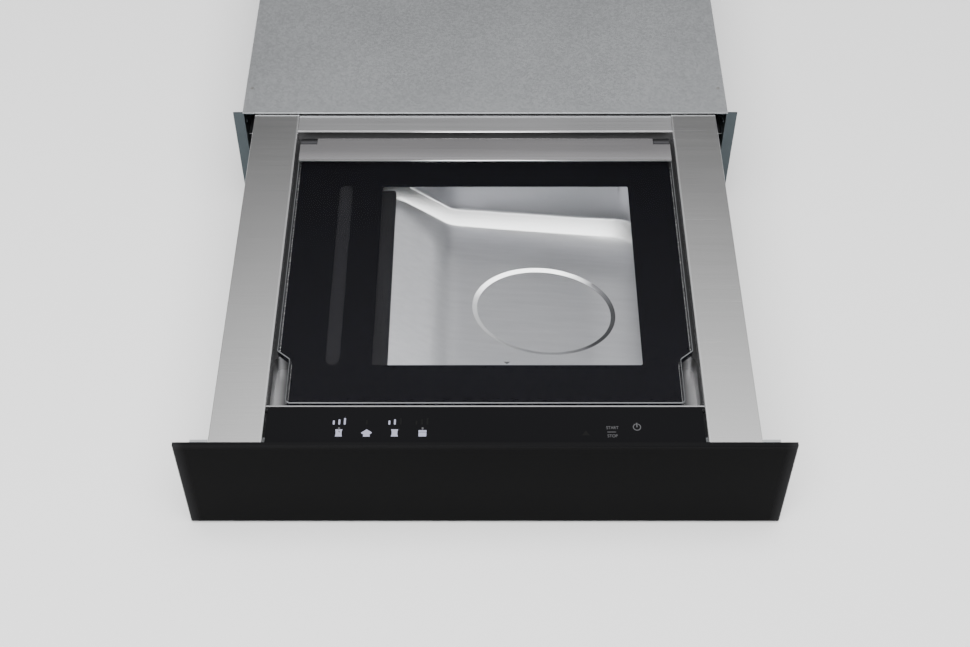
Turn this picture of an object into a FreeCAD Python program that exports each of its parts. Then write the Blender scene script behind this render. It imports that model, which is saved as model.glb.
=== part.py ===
import FreeCAD, Part
import math
import os
import Sketcher

# Vacuum sealing drawer, shown pulled out of its housing.
# The origin is the centre of the housing's underside, +X is right from the front, +Y is to the rear.

doc = FreeCAD.newDocument("VacuumDrawer")
sheet = doc.addObject("Spreadsheet::Sheet", "Sizes")
nodes = []
rows = []


class Size:
    # A length that knows its value and the sheet formula that gives it.
    def __init__(self, text, value):
        self.text = text
        self.value = value

    def join(self, sign, other, value):
        return Size("(%s %s %s)" % (self.text, sign, formula(other)), value)

    def __add__(self, other):
        return self.join("+", other, self.value + number(other))

    def __sub__(self, other):
        return self.join("-", other, self.value - number(other))

    def __mul__(self, other):
        return self.join("*", other, self.value * number(other))

    def __truediv__(self, other):
        return self.join("/", other, self.value / number(other))

    def __radd__(self, other):
        return self + other

    def __rsub__(self, other):
        return -self + other

    def __rmul__(self, other):
        return self * other

    def __neg__(self):
        return self * -1


def number(size):
    return size.value if isinstance(size, Size) else float(size)


def formula(size):
    return size.text if isinstance(size, Size) else "(%.6g)" % size


def cell(alias, value, note):
    rows.append(alias)
    row = str(len(rows))
    sheet.set("A" + row, note)
    sheet.set("B" + row, str(value))
    sheet.setAlias("B" + row, alias)
    return Size("Sizes." + alias, float(value))


# Overall sizes
front_width = cell("front_width", 597, "width of the front glass")
front_height = cell("front_height", 130, "height of the front glass")
front_lift = cell("front_lift", 2, "front glass above the underside of the housing")
front_stand = cell("front_stand", 20, "front glass ahead of the closed housing")
glass_thick = cell("glass_thick", 5, "front glass")
travel = cell("travel", 450, "travel of the drawer")
housing_width = cell("housing_width", 558, "housing, across")
housing_height = cell("housing_height", 134, "housing, upright")
housing_depth = cell("housing_depth", 530, "housing, front to rear")
housing_sheet = cell("housing_sheet", 1.2, "sheet of the housing")
flange_reach = cell("flange_reach", 11, "front flange beyond the side wall")
hem = cell("hem", 12, "folded edges of the housing")

# Drawer body
drawer_depth = cell("drawer_depth", 515, "front face to rear face of the drawer")
beam_half = cell("beam_half", 265, "outer edge of a side beam from the middle")
beam_wide = cell("beam_wide", 51.5, "width of a side beam")
beam_level = cell("beam_level", 131.5, "top of the side beams")
beam_skirt = cell("beam_skirt", 8, "outer skirt of a side beam")
sheet_steel = cell("sheet_steel", 1.5, "sheet of the drawer")
tray_half = cell("tray_half", 252, "outer face of the tray from the middle")
tray_level = cell("tray_level", 8, "underside of the tray")
frame_depth = cell("frame_depth", 13.5, "depth of the frame behind the front glass")
deck_level = cell("deck_level", 119, "top of the deck")
deck_end = cell("deck_end", 446, "rear edge of the deck")
lip_place = cell("lip_place", 49.5, "front lip of the deck")
lip_level = cell("lip_level", 129, "top of the front lip")
touching = cell("touching", 0.3, "gap between neighbours that do not bear on each other")
running = cell("running", 0.05, "radial clearance of a shaft in its bore")

# Chamber
chamber_left = cell("chamber_left", -178, "left wall of the chamber")
chamber_right = cell("chamber_right", 180, "right wall of the chamber")
chamber_front = cell("chamber_front", 83, "front wall of the chamber")
chamber_back = cell("chamber_back", 374, "rear wall of the chamber")
shelf_level = cell("shelf_level", 101, "shelf at the left of the chamber")
ramp_start = cell("ramp_start", -97, "where the shelf ends")
ramp_end = cell("ramp_end", -40, "where the floor starts")
floor_deep = cell("floor_deep", 58, "height of the floor at the foot of the ramp, rear")
floor_fall = cell("floor_fall", 21, "fall of the floor from the ramp to the right wall")
floor_rise = cell("floor_rise", 15, "rise of the floor from rear to front")
chamber_corner = cell("chamber_corner", 30, "upright corners of the chamber")
floor_corner = cell("floor_corner", 15, "rounding between floor and walls")
ramp_round = cell("ramp_round", 30, "rounding at the top and foot of the ramp")
ring_wide = cell("ring_wide", 156, "ring in the floor, across")
ring_long = cell("ring_long", 130, "ring in the floor, front to rear")
ring_place = cell("ring_place", 64, "middle of the ring from the middle")
ring_back = cell("ring_back", 235, "middle of the ring from the front face")
ring_deep = cell("ring_deep", 1.6, "depth of the ring")
ring_slope = cell("ring_slope", 5, "width of the ring's sloping edge")
tank_flange = cell("tank_flange", 8, "flange of the chamber under the deck")

# Lid
lid_half = cell("lid_half", 208.5, "side of the lid from the middle")
lid_front = cell("lid_front", 53.5, "front edge of the lid")
lid_back = cell("lid_back", 406, "rear edge of the lid glass")
lid_thick = cell("lid_thick", 8, "lid glass")
lid_gap = cell("lid_gap", 3, "lid glass above the deck")
notch_half = cell("notch_half", 195.5, "narrow front of the lid from the middle")
notch_start = cell("notch_start", 108.7, "rear end of the narrow front")
notch_end = cell("notch_end", 119.5, "where the lid has its full width")
film = cell("film", 0.4, "dark border under the lid glass")
border_inset = cell("border_inset", 2.5, "border inside the edge of the glass")
window_left = cell("window_left", -113, "left edge of the window")
window_right = cell("window_right", 157.5, "right edge of the window")
window_front = cell("window_front", 105, "front edge of the window")
window_back = cell("window_back", 358, "rear edge of the window")
bar_place = cell("bar_place", -153, "middle of the sealing bar")
slot_wide = cell("slot_wide", 14, "slot over the sealing bar")
hinge_front = cell("hinge_front", 393.5, "front edge of the hinge profile")
pivot_back = cell("pivot_back", 426.5, "lid hinge from the front face")
pivot_level = cell("pivot_level", 126, "lid hinge above the underside")
pivot_round = cell("pivot_round", 6, "rounding of the hinge profile")
pin_radius = cell("pin_radius", 2.5, "hinge pins")
knuckle_place = cell("knuckle_place", 190, "inner end of a hinge knuckle")
knuckle_wide = cell("knuckle_wide", 18, "width of a hinge knuckle")

# Sealing bar
bar_wide = cell("bar_wide", 15, "sealing bar, across")
bar_room = cell("bar_room", 16.5, "chamber wall to each end of the sealing bar")
bar_level = cell("bar_level", 109.5, "top of the sealing bar at rest")
bar_lift = cell("bar_lift", 5, "travel of the sealing bar")
carrier_level = cell("carrier_level", 111, "top of the sealing carrier")
carrier_seat = cell("carrier_seat", 2.4, "sealing carrier above the shelf, on its rounded edges")
carrier_floor = cell("carrier_floor", 2, "floor of the sealing carrier")
rod_radius = cell("rod_radius", 3, "lift rods")
lift_spread = cell("lift_spread", 95, "lift rods from the middle of the bar")

# Slides
rail_level = cell("rail_level", 62, "middle of the slides")
rail_tall = cell("rail_tall", 45, "height of the outer rail")
rail_sheet = cell("rail_sheet", 1.2, "sheet of the rails")
rail_play = cell("rail_play", 0.4, "gap between nested rails")
rail_thick = cell("rail_thick", 12.5, "all three rails together")
rail_long = cell("rail_long", 460, "length of each rail")
rail_start = cell("rail_start", 10, "front end of the outer rail inside the housing")

# Vacuum pump
pump_back = cell("pump_back", 442, "pump shaft from the front face")
pump_level = cell("pump_level", 62, "pump shaft above the underside")
motor_radius = cell("motor_radius", 47, "motor casing")
motor_left = cell("motor_left", -58, "left end of the motor")
motor_right = cell("motor_right", 68, "right end of the motor")
casing_wall = cell("casing_wall", 2.5, "wall of the motor casing")
plate_thick = cell("plate_thick", 5, "end plates of the motor")
shaft_radius = cell("shaft_radius", 5, "pump shaft")
pump_radius = cell("pump_radius", 40, "pump body")
pump_long = cell("pump_long", 74, "pump body along the shaft")
bore_radius = cell("bore_radius", 30, "pump bore")
bore_offset = cell("bore_offset", 5, "pump bore below the shaft")
rotor_radius = cell("rotor_radius", 24.5, "pump rotor")
cover_thick = cell("cover_thick", 8, "pump end cover")
foot_tall = cell("foot_tall", 3.5, "rubber feet of the pump")

port_place = cell("port_place", -70, "suction port from the middle")
port_level = cell("port_level", 109, "suction port above the underside")
port_long = cell("port_long", 16, "suction port behind the chamber")
port_radius = cell("port_radius", 5, "suction port, outside")
port_wall = cell("port_wall", 1.5, "wall of the suction port")
hose_wall = cell("hose_wall", 2, "wall of the hose")

# Lead
lead_place = cell("lead_place", 150, "lead gland from the middle")
lead_level = cell("lead_level", 60, "lead gland above the underside")
gland_radius = cell("gland_radius", 8, "hole of the lead gland")

# Rear fan
fan_place = cell("fan_place", -192, "fan from the middle")
fan_level = cell("fan_level", 62, "fan above the underside")
fan_size = cell("fan_size", 80, "fan frame")
fan_deep = cell("fan_deep", 25, "depth of the fan frame")
fan_bore = cell("fan_bore", 38, "opening of the fan frame")
hub_radius = cell("hub_radius", 16, "hub of the impeller")
blade_reach = cell("blade_reach", 36.5, "tip of the blades")

# Latch and inlet
latch_tall = cell("latch_tall", 20, "latch body, upright")
latch_wide = cell("latch_wide", 30, "latch body, across")
latch_level = cell("latch_level", 118, "latch above the underside")
plunger_radius = cell("plunger_radius", 4, "latch plunger")
plunger_travel = cell("plunger_travel", 5, "free way of the latch plunger")
inlet_place = cell("inlet_place", 215, "mains inlet from the middle")
inlet_wide = cell("inlet_wide", 28, "mains inlet, across")
inlet_tall = cell("inlet_tall", 20, "mains inlet, upright")
inlet_level = cell("inlet_level", 40, "mains inlet above the underside")
fixing_radius = cell("fixing_radius", 2.25, "fixing holes in the sides")
fixing_back = cell("fixing_back", 13, "fixing holes behind the housing's front")
fixing_low = cell("fixing_low", 24, "lower fixing hole")
fixing_high = cell("fixing_high", 110, "upper fixing hole")
screw_radius = cell("screw_radius", 2, "screw shanks")
head_radius = cell("head_radius", 3.6, "screw heads")
head_tall = cell("head_tall", 2.2, "screw heads")
doc.recompute()

front_place = -(housing_depth / 2 + front_stand + travel)
side_face = housing_width / 2
side_inner = side_face - housing_sheet
housing_front = -housing_depth / 2
housing_back = housing_depth / 2
rear_inner = housing_back - housing_sheet
front_top = front_lift + front_height
beam_inner = beam_half - beam_wide
tray_inner = tray_half - sheet_steel
bar_long = chamber_back - chamber_front - 2 * bar_room
tray_top = beam_level - sheet_steel
floor_top = tray_level + sheet_steel
lid_under = deck_level + lid_gap
lid_level = lid_under + lid_thick
frame_back = glass_thick + frame_depth
tray_front = frame_back + sheet_steel
rear_face = drawer_depth - sheet_steel


# The spot at this distance behind the front face, in the housing's own frame.
def back(distance):
    return front_place + distance


def mirrored(pair):
    low, high = pair
    return -high, -low


def bind(thing, name, size):
    if isinstance(size, Size):
        thing.setExpression(name, size.text)
    else:
        thing.setExpression(name, "%.6g" % size)


def move(thing, x, y, z):
    for axis, size in zip("xyz", (x, y, z)):
        bind(thing, "Placement.Base." + axis, size)


def block(name, x, y, z):
    solid = doc.addObject("Part::Box", name)
    for side, (low, high) in zip(("Length", "Width", "Height"), (x, y, z)):
        bind(solid, side, high - low)
    move(solid, x[0], y[0], z[0])
    return solid


turns = {
    "x": FreeCAD.Rotation(FreeCAD.Vector(0, 1, 0), 90),
    "y": FreeCAD.Rotation(FreeCAD.Vector(1, 0, 0), -90),
    "z": FreeCAD.Rotation(),
}


# A round bar along an axis. The two places are the other two coordinates, in order.
def rod(name, axis, low, high, places, radius):
    solid = doc.addObject("Part::Cylinder", name)
    solid.Placement = FreeCAD.Placement(FreeCAD.Vector(), turns[axis])
    bind(solid, "Radius", radius)
    bind(solid, "Height", high - low)
    spot = list(places)
    spot.insert("xyz".index(axis), low)
    move(solid, *spot)
    return solid


def union(name, pieces):
    solid = doc.addObject("Part::MultiFuse", name)
    solid.Shapes = pieces
    solid.Refine = True
    return solid


def minus(name, base, tools):
    solid = doc.addObject("Part::Cut", name)
    solid.Base = base
    solid.Tool = tools[0] if len(tools) == 1 else union(name + "_tools", tools)
    solid.Refine = True
    return solid


def pipe(name, axis, low, high, places, outer, inner):
    body = rod(name + "_outer", axis, low, high, places, outer)
    bore = rod(name + "_bore", axis, low - 1, high + 1, places, inner)
    return minus(name, body, [bore])


# A flat outline padded between two places along the normal of its plane.
# Rounds pairs the numbers of the outline's points with the radius that they get.
def prism(name, plane, points, low, high, rounds=()):
    body = doc.addObject("PartDesign::Body", name)
    planes = {feature.Role: feature for feature in body.Origin.OriginFeatures}
    sketch = body.newObject("Sketcher::SketchObject", name + "_outline")
    sketch.AttachmentSupport = (planes[plane + "_Plane"], "")
    sketch.MapMode = "FlatFace"
    spots = [FreeCAD.Vector(number(a), number(b), 0) for a, b in points]
    count = len(spots)
    for here in range(count):
        sketch.addGeometry(Part.LineSegment(spots[here], spots[(here + 1) % count]), False)
    for here in range(count):
        sketch.addConstraint(Sketcher.Constraint("Coincident", here, 2, (here + 1) % count, 1))
    for here, (across, along) in enumerate(points):
        for kind, size in (("DistanceX", across), ("DistanceY", along)):
            rule = Sketcher.Constraint(kind, -1, 1, here, 1, number(size))
            index = sketch.addConstraint(rule)
            bind(sketch, "Constraints[%d]" % index, size)
    bind(sketch, "AttachmentOffset.Base.z", -high if plane == "XZ" else low)
    pad = body.newObject("PartDesign::Pad", name + "_pad")
    pad.Profile = sketch
    bind(pad, "Length", high - low)
    doc.recompute()
    last = pad
    for turn, (corners, radius) in enumerate(rounds):
        wanted = [placed(plane, points[corner]) for corner in corners]
        edges = upright_edges(last.Shape, plane, wanted)
        last = round_edges(body, last, name + "_round%d" % turn, edges, radius)
    return body


def placed(plane, point):
    across, along = number(point[0]), number(point[1])
    fixed = {"XY": (0, 1), "XZ": (0, 2), "YZ": (1, 2)}[plane]
    return {fixed[0]: across, fixed[1]: along}


# The edges that stand over the wanted corners of an outline.
def upright_edges(shape, plane, wanted):
    close = 0.001
    found = []
    for index, edge in enumerate(shape.Edges):
        ends = [vertex.Point for vertex in edge.Vertexes]
        for corner in wanted:
            gaps = [abs(end[i] - at) for end in ends for i, at in corner.items()]
            if len(ends) == 2 and max(gaps) < close:
                found.append("Edge%d" % (index + 1))
    return found


def round_edges(body, feature, name, edges, radius):
    fillet = body.newObject("PartDesign::Fillet", name)
    fillet.Base = (feature, edges)
    bind(fillet, "Radius", radius)
    doc.recompute()
    return fillet


def rectangle(x, y):
    return [(x[0], y[0]), (x[1], y[0]), (x[1], y[1]), (x[0], y[1])]


def rounded_block(name, x, y, z, radius):
    return prism(name, "XY", rectangle(x, y), z[0], z[1], [((0, 1, 2, 3), radius)])


# A screw with a round head. Its shank points along the axis in the sense of the sign.
def screw(name, axis, face, sign, places, length):
    if sign > 0:
        shank = rod(name + "_shank", axis, face, face + length, places, screw_radius)
        head = rod(name + "_head", axis, face - head_tall, face, places, head_radius)
    else:
        shank = rod(name + "_shank", axis, face - length, face, places, screw_radius)
        head = rod(name + "_head", axis, face, face + head_tall, places, head_radius)
    return union(name, [shank, head])


def holes(name, axis, low, high, spots, radius):
    return [rod("%s%d" % (name, i), axis, low, high, spot, radius) for i, spot in enumerate(spots)]


# The finished piece of this name, from a shape of any other name.
def piece(name, solid):
    solid.Label = name
    nodes.append(solid)
    return solid


# Housing
def make_housing():
    depth = (housing_front, housing_back)
    base = block("base_sheet", (-side_face, side_face), depth, (0, housing_sheet))
    screw_x = side_inner - hem / 2
    screw_shares = (0.08, 0.5, 0.92)
    screw_y = [housing_front + housing_depth * share for share in screw_shares]
    spots = [(sign * screw_x, y) for sign in (-1, 1) for y in screw_y]
    base_holes = holes("base_hole", "z", -1, housing_sheet + 1, spots, screw_radius + running)
    piece("housing_base", minus("housing_base", base, base_holes))
    top_low = housing_height - housing_sheet
    top = block("top_sheet", (-side_face, side_face), depth, (top_low, housing_height))
    top_holes = holes("top_hole", "z", top_low - 1, housing_height + 1, spots, screw_radius + running)
    piece("housing_top", minus("housing_top", top, top_holes))
    flange_low = front_lift
    for side, sign in (("left", -1), ("right", 1)):
        outer = sign * side_face
        inner = sign * side_inner
        edge = sign * (side_inner - hem)
        low, high = housing_sheet, top_low
        outline = [
            (outer, low),
            (edge, low),
            (edge, low + housing_sheet),
            (inner, low + housing_sheet),
            (inner, high - housing_sheet),
            (edge, high - housing_sheet),
            (edge, high),
            (outer, high),
        ]
        wall = prism("side_wall_" + side, "XZ", outline, housing_front, rear_inner)
        reach = sign * (side_face + flange_reach)
        ends = (outer, reach) if sign > 0 else (reach, outer)
        tab_ends = (inner, outer) if sign > 0 else (outer, inner)
        front_row = (housing_front, housing_front + housing_sheet)
        flange = block("flange_" + side, ends, front_row, (flange_low, housing_height))
        tab = block("flange_tab_" + side, tab_ends, front_row, (flange_low, top_low))
        joined = union("side_" + side, [wall, flange, tab])
        fixing = [(housing_front + fixing_back, z) for z in (fixing_low, fixing_high)]
        span = sorted((number(inner), number(outer)))
        drills = holes("fixing_" + side, "x", span[0] - 1, span[1] + 1, fixing, fixing_radius)
        flat = [spot for spot in spots if number(spot[0]) * sign > 0]
        drills += holes("hem_low_" + side, "z", 0, low + 2, flat, screw_radius + running)
        drills += holes("hem_high_" + side, "z", high - 2, high + 1, flat, screw_radius + running)
        piece("housing_side_" + side, minus("housing_side_" + side, joined, drills))
    make_housing_rear(top_low)
    base_screws = [screw("base_screw%d" % i, "z", 2 * housing_sheet, -1, spot, 2 * housing_sheet)
                   for i, spot in enumerate(spots)]
    top_screws = [screw("top_screw%d" % i, "z", top_low - housing_sheet, 1, spot, 2 * housing_sheet)
                  for i, spot in enumerate(spots)]
    piece("housing_screws", union("housing_screws", base_screws + top_screws))


# The rear wall has a field of vents and the opening of the mains inlet.
def make_housing_rear(top_low):
    vent_count = 12
    vent_pitch = 18
    vent_wide = 7
    vent_low, vent_high = 30, 100
    wall = block("rear_sheet", (-side_face, side_face), (rear_inner, housing_back),
                 (housing_sheet, top_low))
    through = (rear_inner - 1, housing_back + 1)
    cuts = []
    for column in range(vent_count):
        x = fan_place + (column - vent_count / 2) * vent_pitch + vent_pitch * 2
        cuts.append(block("rear_vent%d" % column, (x, x + vent_wide), through, (vent_low, vent_high)))
    across = (inlet_place - inlet_wide / 2, inlet_place + inlet_wide / 2)
    upright = (inlet_level - inlet_tall / 2, inlet_level + inlet_tall / 2)
    cuts.append(block("inlet_opening", across, through, upright))
    piece("housing_rear", minus("housing_rear", wall, cuts))
    make_inlet()


# The three pins of the inlet stand in an open box behind its face plate.
def make_inlet():
    lip, plate = 4, 2
    shell_wall = 2
    inside = 20
    across = (inlet_place - inlet_wide / 2 + touching, inlet_place + inlet_wide / 2 - touching)
    upright = (inlet_level - inlet_tall / 2 + touching, inlet_level + inlet_tall / 2 - touching)
    box = block("inlet_box", across, (rear_inner - inside, housing_back), upright)
    rim = block("inlet_plate", (across[0] - lip, across[1] + lip), (housing_back, housing_back + plate),
                (upright[0] - lip, upright[1] + lip))
    hollow = block("inlet_hollow", (across[0] + shell_wall, across[1] - shell_wall),
                   (rear_inner - inside + shell_wall, housing_back + plate + 1),
                   (upright[0] + shell_wall, upright[1] - shell_wall))
    shell = minus("inlet_shell", union("inlet_blank", [box, rim]), [hollow])
    pin_pitch = 7
    pin_half_wide, pin_half_tall, pin_inset = 1, 2, 2
    pins = []
    for index, (along, up) in enumerate(((-1, -0.3), (0, 0.3), (1, -0.3))):
        x = inlet_place + along * pin_pitch
        z = inlet_level + up * pin_pitch
        pins.append(block("inlet_pin%d" % index, (x - pin_half_wide, x + pin_half_wide),
                          (rear_inner - inside + 1, housing_back - pin_inset),
                          (z - pin_half_tall, z + pin_half_tall)))
    piece("mains_inlet", union("mains_inlet", [shell] + pins))


# The latch pushes the drawer out. Its plunger stands just clear of the closed drawer.
def make_latch():
    drawer_rear = rear_position()
    stand_off = 6
    end_wall = 8
    body_front = drawer_rear + stand_off
    tip = drawer_rear + touching
    deep_end = rear_inner - end_wall
    upright = (latch_level - latch_tall / 2, latch_level + latch_tall / 2)
    body = block("latch_block", (-latch_wide / 2, latch_wide / 2), (body_front, rear_inner), upright)
    bore = rod("latch_bore", "y", body_front - 1, deep_end, (0, latch_level), plunger_radius + running)
    piece("latch_body", minus("latch_body", body, [bore]))
    stem = rod("plunger_stem", "y", tip, deep_end - plunger_travel, (0, latch_level), plunger_radius)
    piece("latch_plunger", stem)


# Rear face of the drawer when it is closed.
def rear_position():
    return housing_front - front_stand + drawer_depth


# Slides: each rail is a shallow channel nested in the next.
def make_slides():
    half = rail_tall / 2
    bracket_rise = 4
    bracket_short = 5
    ball_room = 2
    mid_inset = 0.5
    inner_depth = 5
    outer_web = tray_half + rail_thick
    reach_in = tray_half + ball_room
    middle_web = outer_web - rail_sheet - ball_room
    start = housing_front + rail_start
    for side, sign in (("left", -1), ("right", 1)):
        # Bracket between the housing wall and the outer rail
        tall = half + bracket_rise
        wall = sign * side_inner
        web = sign * outer_web
        face = sign * (outer_web + rail_sheet)
        channel("rail_bracket_" + side, wall, face, web, tall, rail_sheet, start + bracket_short,
                start + rail_long - bracket_short)
        # Outer rail, open towards the drawer
        channel("outer_rail_" + side, sign * reach_in, sign * (outer_web - rail_sheet), sign * outer_web,
                half, rail_sheet, start, start + rail_long)
        tall = half - rail_sheet - rail_play
        shift = -travel / 2
        channel("mid_rail_" + side, sign * (reach_in - mid_inset), sign * (middle_web - rail_sheet),
                sign * middle_web, tall, rail_sheet, start + shift, start + rail_long + shift)
        tall = tall - rail_sheet - rail_play
        channel("inner_rail_" + side, sign * (tray_half + inner_depth), sign * (tray_half + rail_sheet),
                sign * tray_half, tall, rail_sheet, start - travel, start + rail_long - travel)


# A channel whose web lies between two places and whose flanges run to the free edge.
def channel(name, edge, web_inner, web_outer, tall, thick, low, high):
    outline = [
        (web_outer, rail_level - tall),
        (edge, rail_level - tall),
        (edge, rail_level - tall + thick),
        (web_inner, rail_level - tall + thick),
        (web_inner, rail_level + tall - thick),
        (edge, rail_level + tall - thick),
        (edge, rail_level + tall),
        (web_outer, rail_level + tall),
    ]
    piece(name, prism(name, "XZ", outline, low, high))


# Drawer chassis
def make_chassis():
    outline = [
        (-tray_half, tray_level),
        (tray_half, tray_level),
        (tray_half, tray_top),
        (tray_inner, tray_top),
        (tray_inner, floor_top),
        (-tray_inner, floor_top),
        (-tray_inner, tray_top),
        (-tray_half, tray_top),
    ]
    trough = prism("tray_trough", "XZ", outline, back(frame_back), back(rear_face))
    front_wall = block("tray_front_wall", (-tray_inner, tray_inner), (back(frame_back), back(tray_front)),
                       (tray_level, deck_level - sheet_steel))
    piece("chassis_tray", union("chassis_tray", [trough, front_wall]))
    make_chassis_rear()
    fold = 0.8
    for side, sign in (("left", -1), ("right", 1)):
        outer = sign * beam_half
        inner = sign * beam_inner
        low = beam_level - sheet_steel
        outline = [
            (outer, beam_level),
            (outer, beam_level - beam_skirt),
            (outer - sign * sheet_steel, beam_level - beam_skirt),
            (outer - sign * sheet_steel, low),
            (inner + sign * sheet_steel, low),
            (inner + sign * sheet_steel, deck_level),
            (inner, deck_level),
            (inner, beam_level),
        ]
        piece("side_beam_" + side, prism("side_beam_" + side, "XZ", outline, back(glass_thick + touching),
                                         back(rear_face), [((0, 7), fold)]))


# The rear wall carries the fan and has a grille of holes in front of it, and a hole for the lead.
def make_chassis_rear():
    wall = block("chassis_rear_sheet", (-tray_half, tray_half), (back(rear_face), back(drawer_depth)),
                 (tray_level, tray_top))
    through = (back(rear_face) - 1, back(drawer_depth) + 1)
    grille_rows = 3
    grille_pitch = 9
    grille_tall = 5
    grille_radius = 30
    cuts = []
    for row in range(-grille_rows, grille_rows + 1):
        reach = math.sqrt(grille_radius ** 2 - (row * grille_pitch) ** 2)
        z = fan_level + row * grille_pitch
        cuts.append(block("grille%d" % (row + grille_rows), (fan_place - reach, fan_place + reach), through,
                          (z - grille_tall / 2, z + grille_tall / 2)))
    spot = (lead_place, lead_level)
    cuts.append(rod("lead_hole", "y", through[0], through[1], spot, gland_radius))
    piece("chassis_rear", minus("chassis_rear", wall, cuts))
    make_gland(spot)


# A sleeve with a collar keeps the lead off the edge of its hole.
def make_gland(spot):
    inside, outside = 8, 10
    collar_tall = 4
    collar_reach = 3
    bore = gland_radius - 3
    face = back(drawer_depth)
    sleeve = pipe("gland_sleeve", "y", back(rear_face) - inside, face + outside, spot,
                  gland_radius - touching, bore)
    collar = pipe("gland_collar", "y", face, face + collar_tall, spot, gland_radius + collar_reach, bore)
    piece("lead_gland", union("lead_gland", [sleeve, collar]))


def make_front():
    half = front_width / 2
    bevel = 1.2
    near = 0.001
    plate = prism("front_glass", "XZ", rectangle((-half, half), (front_lift, front_top)),
                  back(0), back(glass_thick))
    glass = plate.Tip
    face = back(0).value
    rim = [index for index, each in enumerate(glass.Shape.Edges)
           if all(abs(vertex.Point.y - face) < near for vertex in each.Vertexes)]
    chamfer = plate.newObject("PartDesign::Chamfer", "front_glass_bevel")
    chamfer.Base = (glass, ["Edge%d" % (index + 1) for index in rim])
    chamfer.Size = bevel
    piece("front_glass", plate)
    # A shallow pan behind the glass stiffens it and carries the studs.
    side_inset, low_inset = 13, 4
    side = half - side_inset
    low, high = front_lift + low_inset, deck_level - sheet_steel
    pan = block("frame_blank", (-side, side), (back(glass_thick), back(frame_back)), (low, high))
    hollow = block("frame_hollow", (sheet_steel - side, side - sheet_steel),
                   (back(glass_thick) + sheet_steel, back(frame_back) + 1),
                   (low + sheet_steel, high - sheet_steel))
    piece("front_frame", minus("front_frame", pan, [hollow]))
    stud_radius = 5
    studs = []
    for share in (-0.34, -0.12, 0.12, 0.34):
        for z in (30, 90):
            studs.append(rod("stud%d" % len(studs), "y", back(glass_thick) + sheet_steel,
                             back(frame_back), (share * front_width, z), stud_radius))
    piece("front_studs", union("front_studs", studs))


def make_controls():
    side_gap, near_gap, far_gap = 2.5, 0.5, 1.5
    cover, corner = 4, 1
    half = beam_inner - side_gap
    near, far = glass_thick + near_gap, lip_place - far_gap
    glass_low = lid_level - cover
    piece("control_glass", rounded_block("control_glass", (-half, half), (back(near), back(far)),
                                         (glass_low, lid_level), corner))
    wall = 1.5
    tray = block("control_tray_blank", (-half, half), (back(near), back(far)), (deck_level, glass_low))
    hollow = block("control_tray_hollow", (wall - half, half - wall),
                   (back(near) + wall, back(far) - wall), (deck_level + wall, glass_low + 1))
    piece("control_tray", minus("control_tray", tray, [hollow]))
    make_control_board(half, back(near) + wall, back(far) - wall, deck_level + wall)


# The board carries a row of small lights, a chip and a plug.
def make_control_board(half, front, rear, low):
    side_room, end_room = 6, 2.5
    board_thick = 1.6
    top = low + board_thick
    parts = [block("board_sheet", (-half + side_room, half - side_room),
                   (front + end_room, rear - end_room), (low, top))]
    light, light_tall = 3, 1.5
    light_start, light_pitch, light_count = -150, 28, 10
    row = front + 13
    for index in range(light_count):
        x = light_start + index * light_pitch
        parts.append(block("key_light%d" % index, (x, x + light), (row, row + light),
                           (top, top + light_tall)))
    chip = (-20, 0, 9, 29, 2)
    plug = (100, 124, 21, 31, 3)
    for index, (left, right, near, far, tall) in enumerate((chip, plug)):
        parts.append(block("board_part%d" % index, (left, right), (front + near, front + far),
                           (top, top + tall)))
    piece("control_board", union("control_board", parts))


# The deck is one pressed sheet with a lip at the front, the chamber's opening and two finger wells.
def make_deck():
    low = deck_level - sheet_steel
    well_x = (194, beam_inner - 0.5)
    well_y = (56, 120)
    well_deep = 20
    well_sheet = 1.2
    well_corner = 6
    sheet_blank = block("deck_sheet", (-tray_inner, tray_inner), (back(tray_front), back(deck_end)),
                        (low, deck_level))
    lip = block("deck_lip", (-beam_inner, beam_inner), (back(lip_place), back(lip_place) + sheet_steel),
                (low, lip_level))
    drop = 12
    edges = []
    for side, sign in (("left", -1), ("right", 1)):
        width = (tray_inner - sheet_steel, tray_inner)
        edges.append(block("deck_edge_" + side, width if sign > 0 else mirrored(width),
                           (back(tray_front), back(deck_end)), (low - drop, low)))
    cups = []
    voids = [rounded_block("deck_opening", (chamber_left, chamber_right),
                           (back(chamber_front), back(chamber_back)), (low - 1, deck_level + 1),
                           chamber_corner)]
    for side, sign in (("left", -1), ("right", 1)):
        x = well_x if sign > 0 else mirrored(well_x)
        y = (back(well_y[0]), back(well_y[1]))
        outer_x = (x[0] - well_sheet, x[1]) if sign > 0 else (x[0], x[1] + well_sheet)
        outer_y = (y[0] - well_sheet, y[1] + well_sheet)
        cups.append(rounded_block("well_cup_" + side, outer_x, outer_y,
                                  (deck_level - well_deep - well_sheet, deck_level),
                                  well_corner + well_sheet))
        inner_x = (x[0], x[1] - well_sheet) if sign > 0 else (x[0] + well_sheet, x[1])
        voids.append(rounded_block("well_hollow_" + side, inner_x, y,
                                   (deck_level - well_deep, deck_level + 1), well_corner))
    blank = union("deck_blank", [sheet_blank, lip] + edges + cups)
    piece("deck", minus("deck", blank, voids))


# A box with round upright corners.
def rounded_space(x, y, low, high, corner):
    x0, x1 = number(x[0]), number(x[1])
    y0, y1 = number(y[0]), number(y[1])
    box = Part.makeBox(x1 - x0, y1 - y0, high - low, FreeCAD.Vector(x0, y0, low))
    upright = [edge for edge in box.Edges
               if abs(edge.Vertexes[0].Point.z - edge.Vertexes[1].Point.z) > 0.1]
    return box.makeFillet(corner, upright)


# Height of the chamber floor at a spot, before its walls are rounded.
def floor_height(x, distance):
    fall = number(floor_fall) / number(chamber_right - ramp_end)
    share = (number(chamber_back) - distance) / number(chamber_back - chamber_front)
    return number(floor_deep) + number(floor_rise) * share - fall * (x - number(ramp_end))


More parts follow.
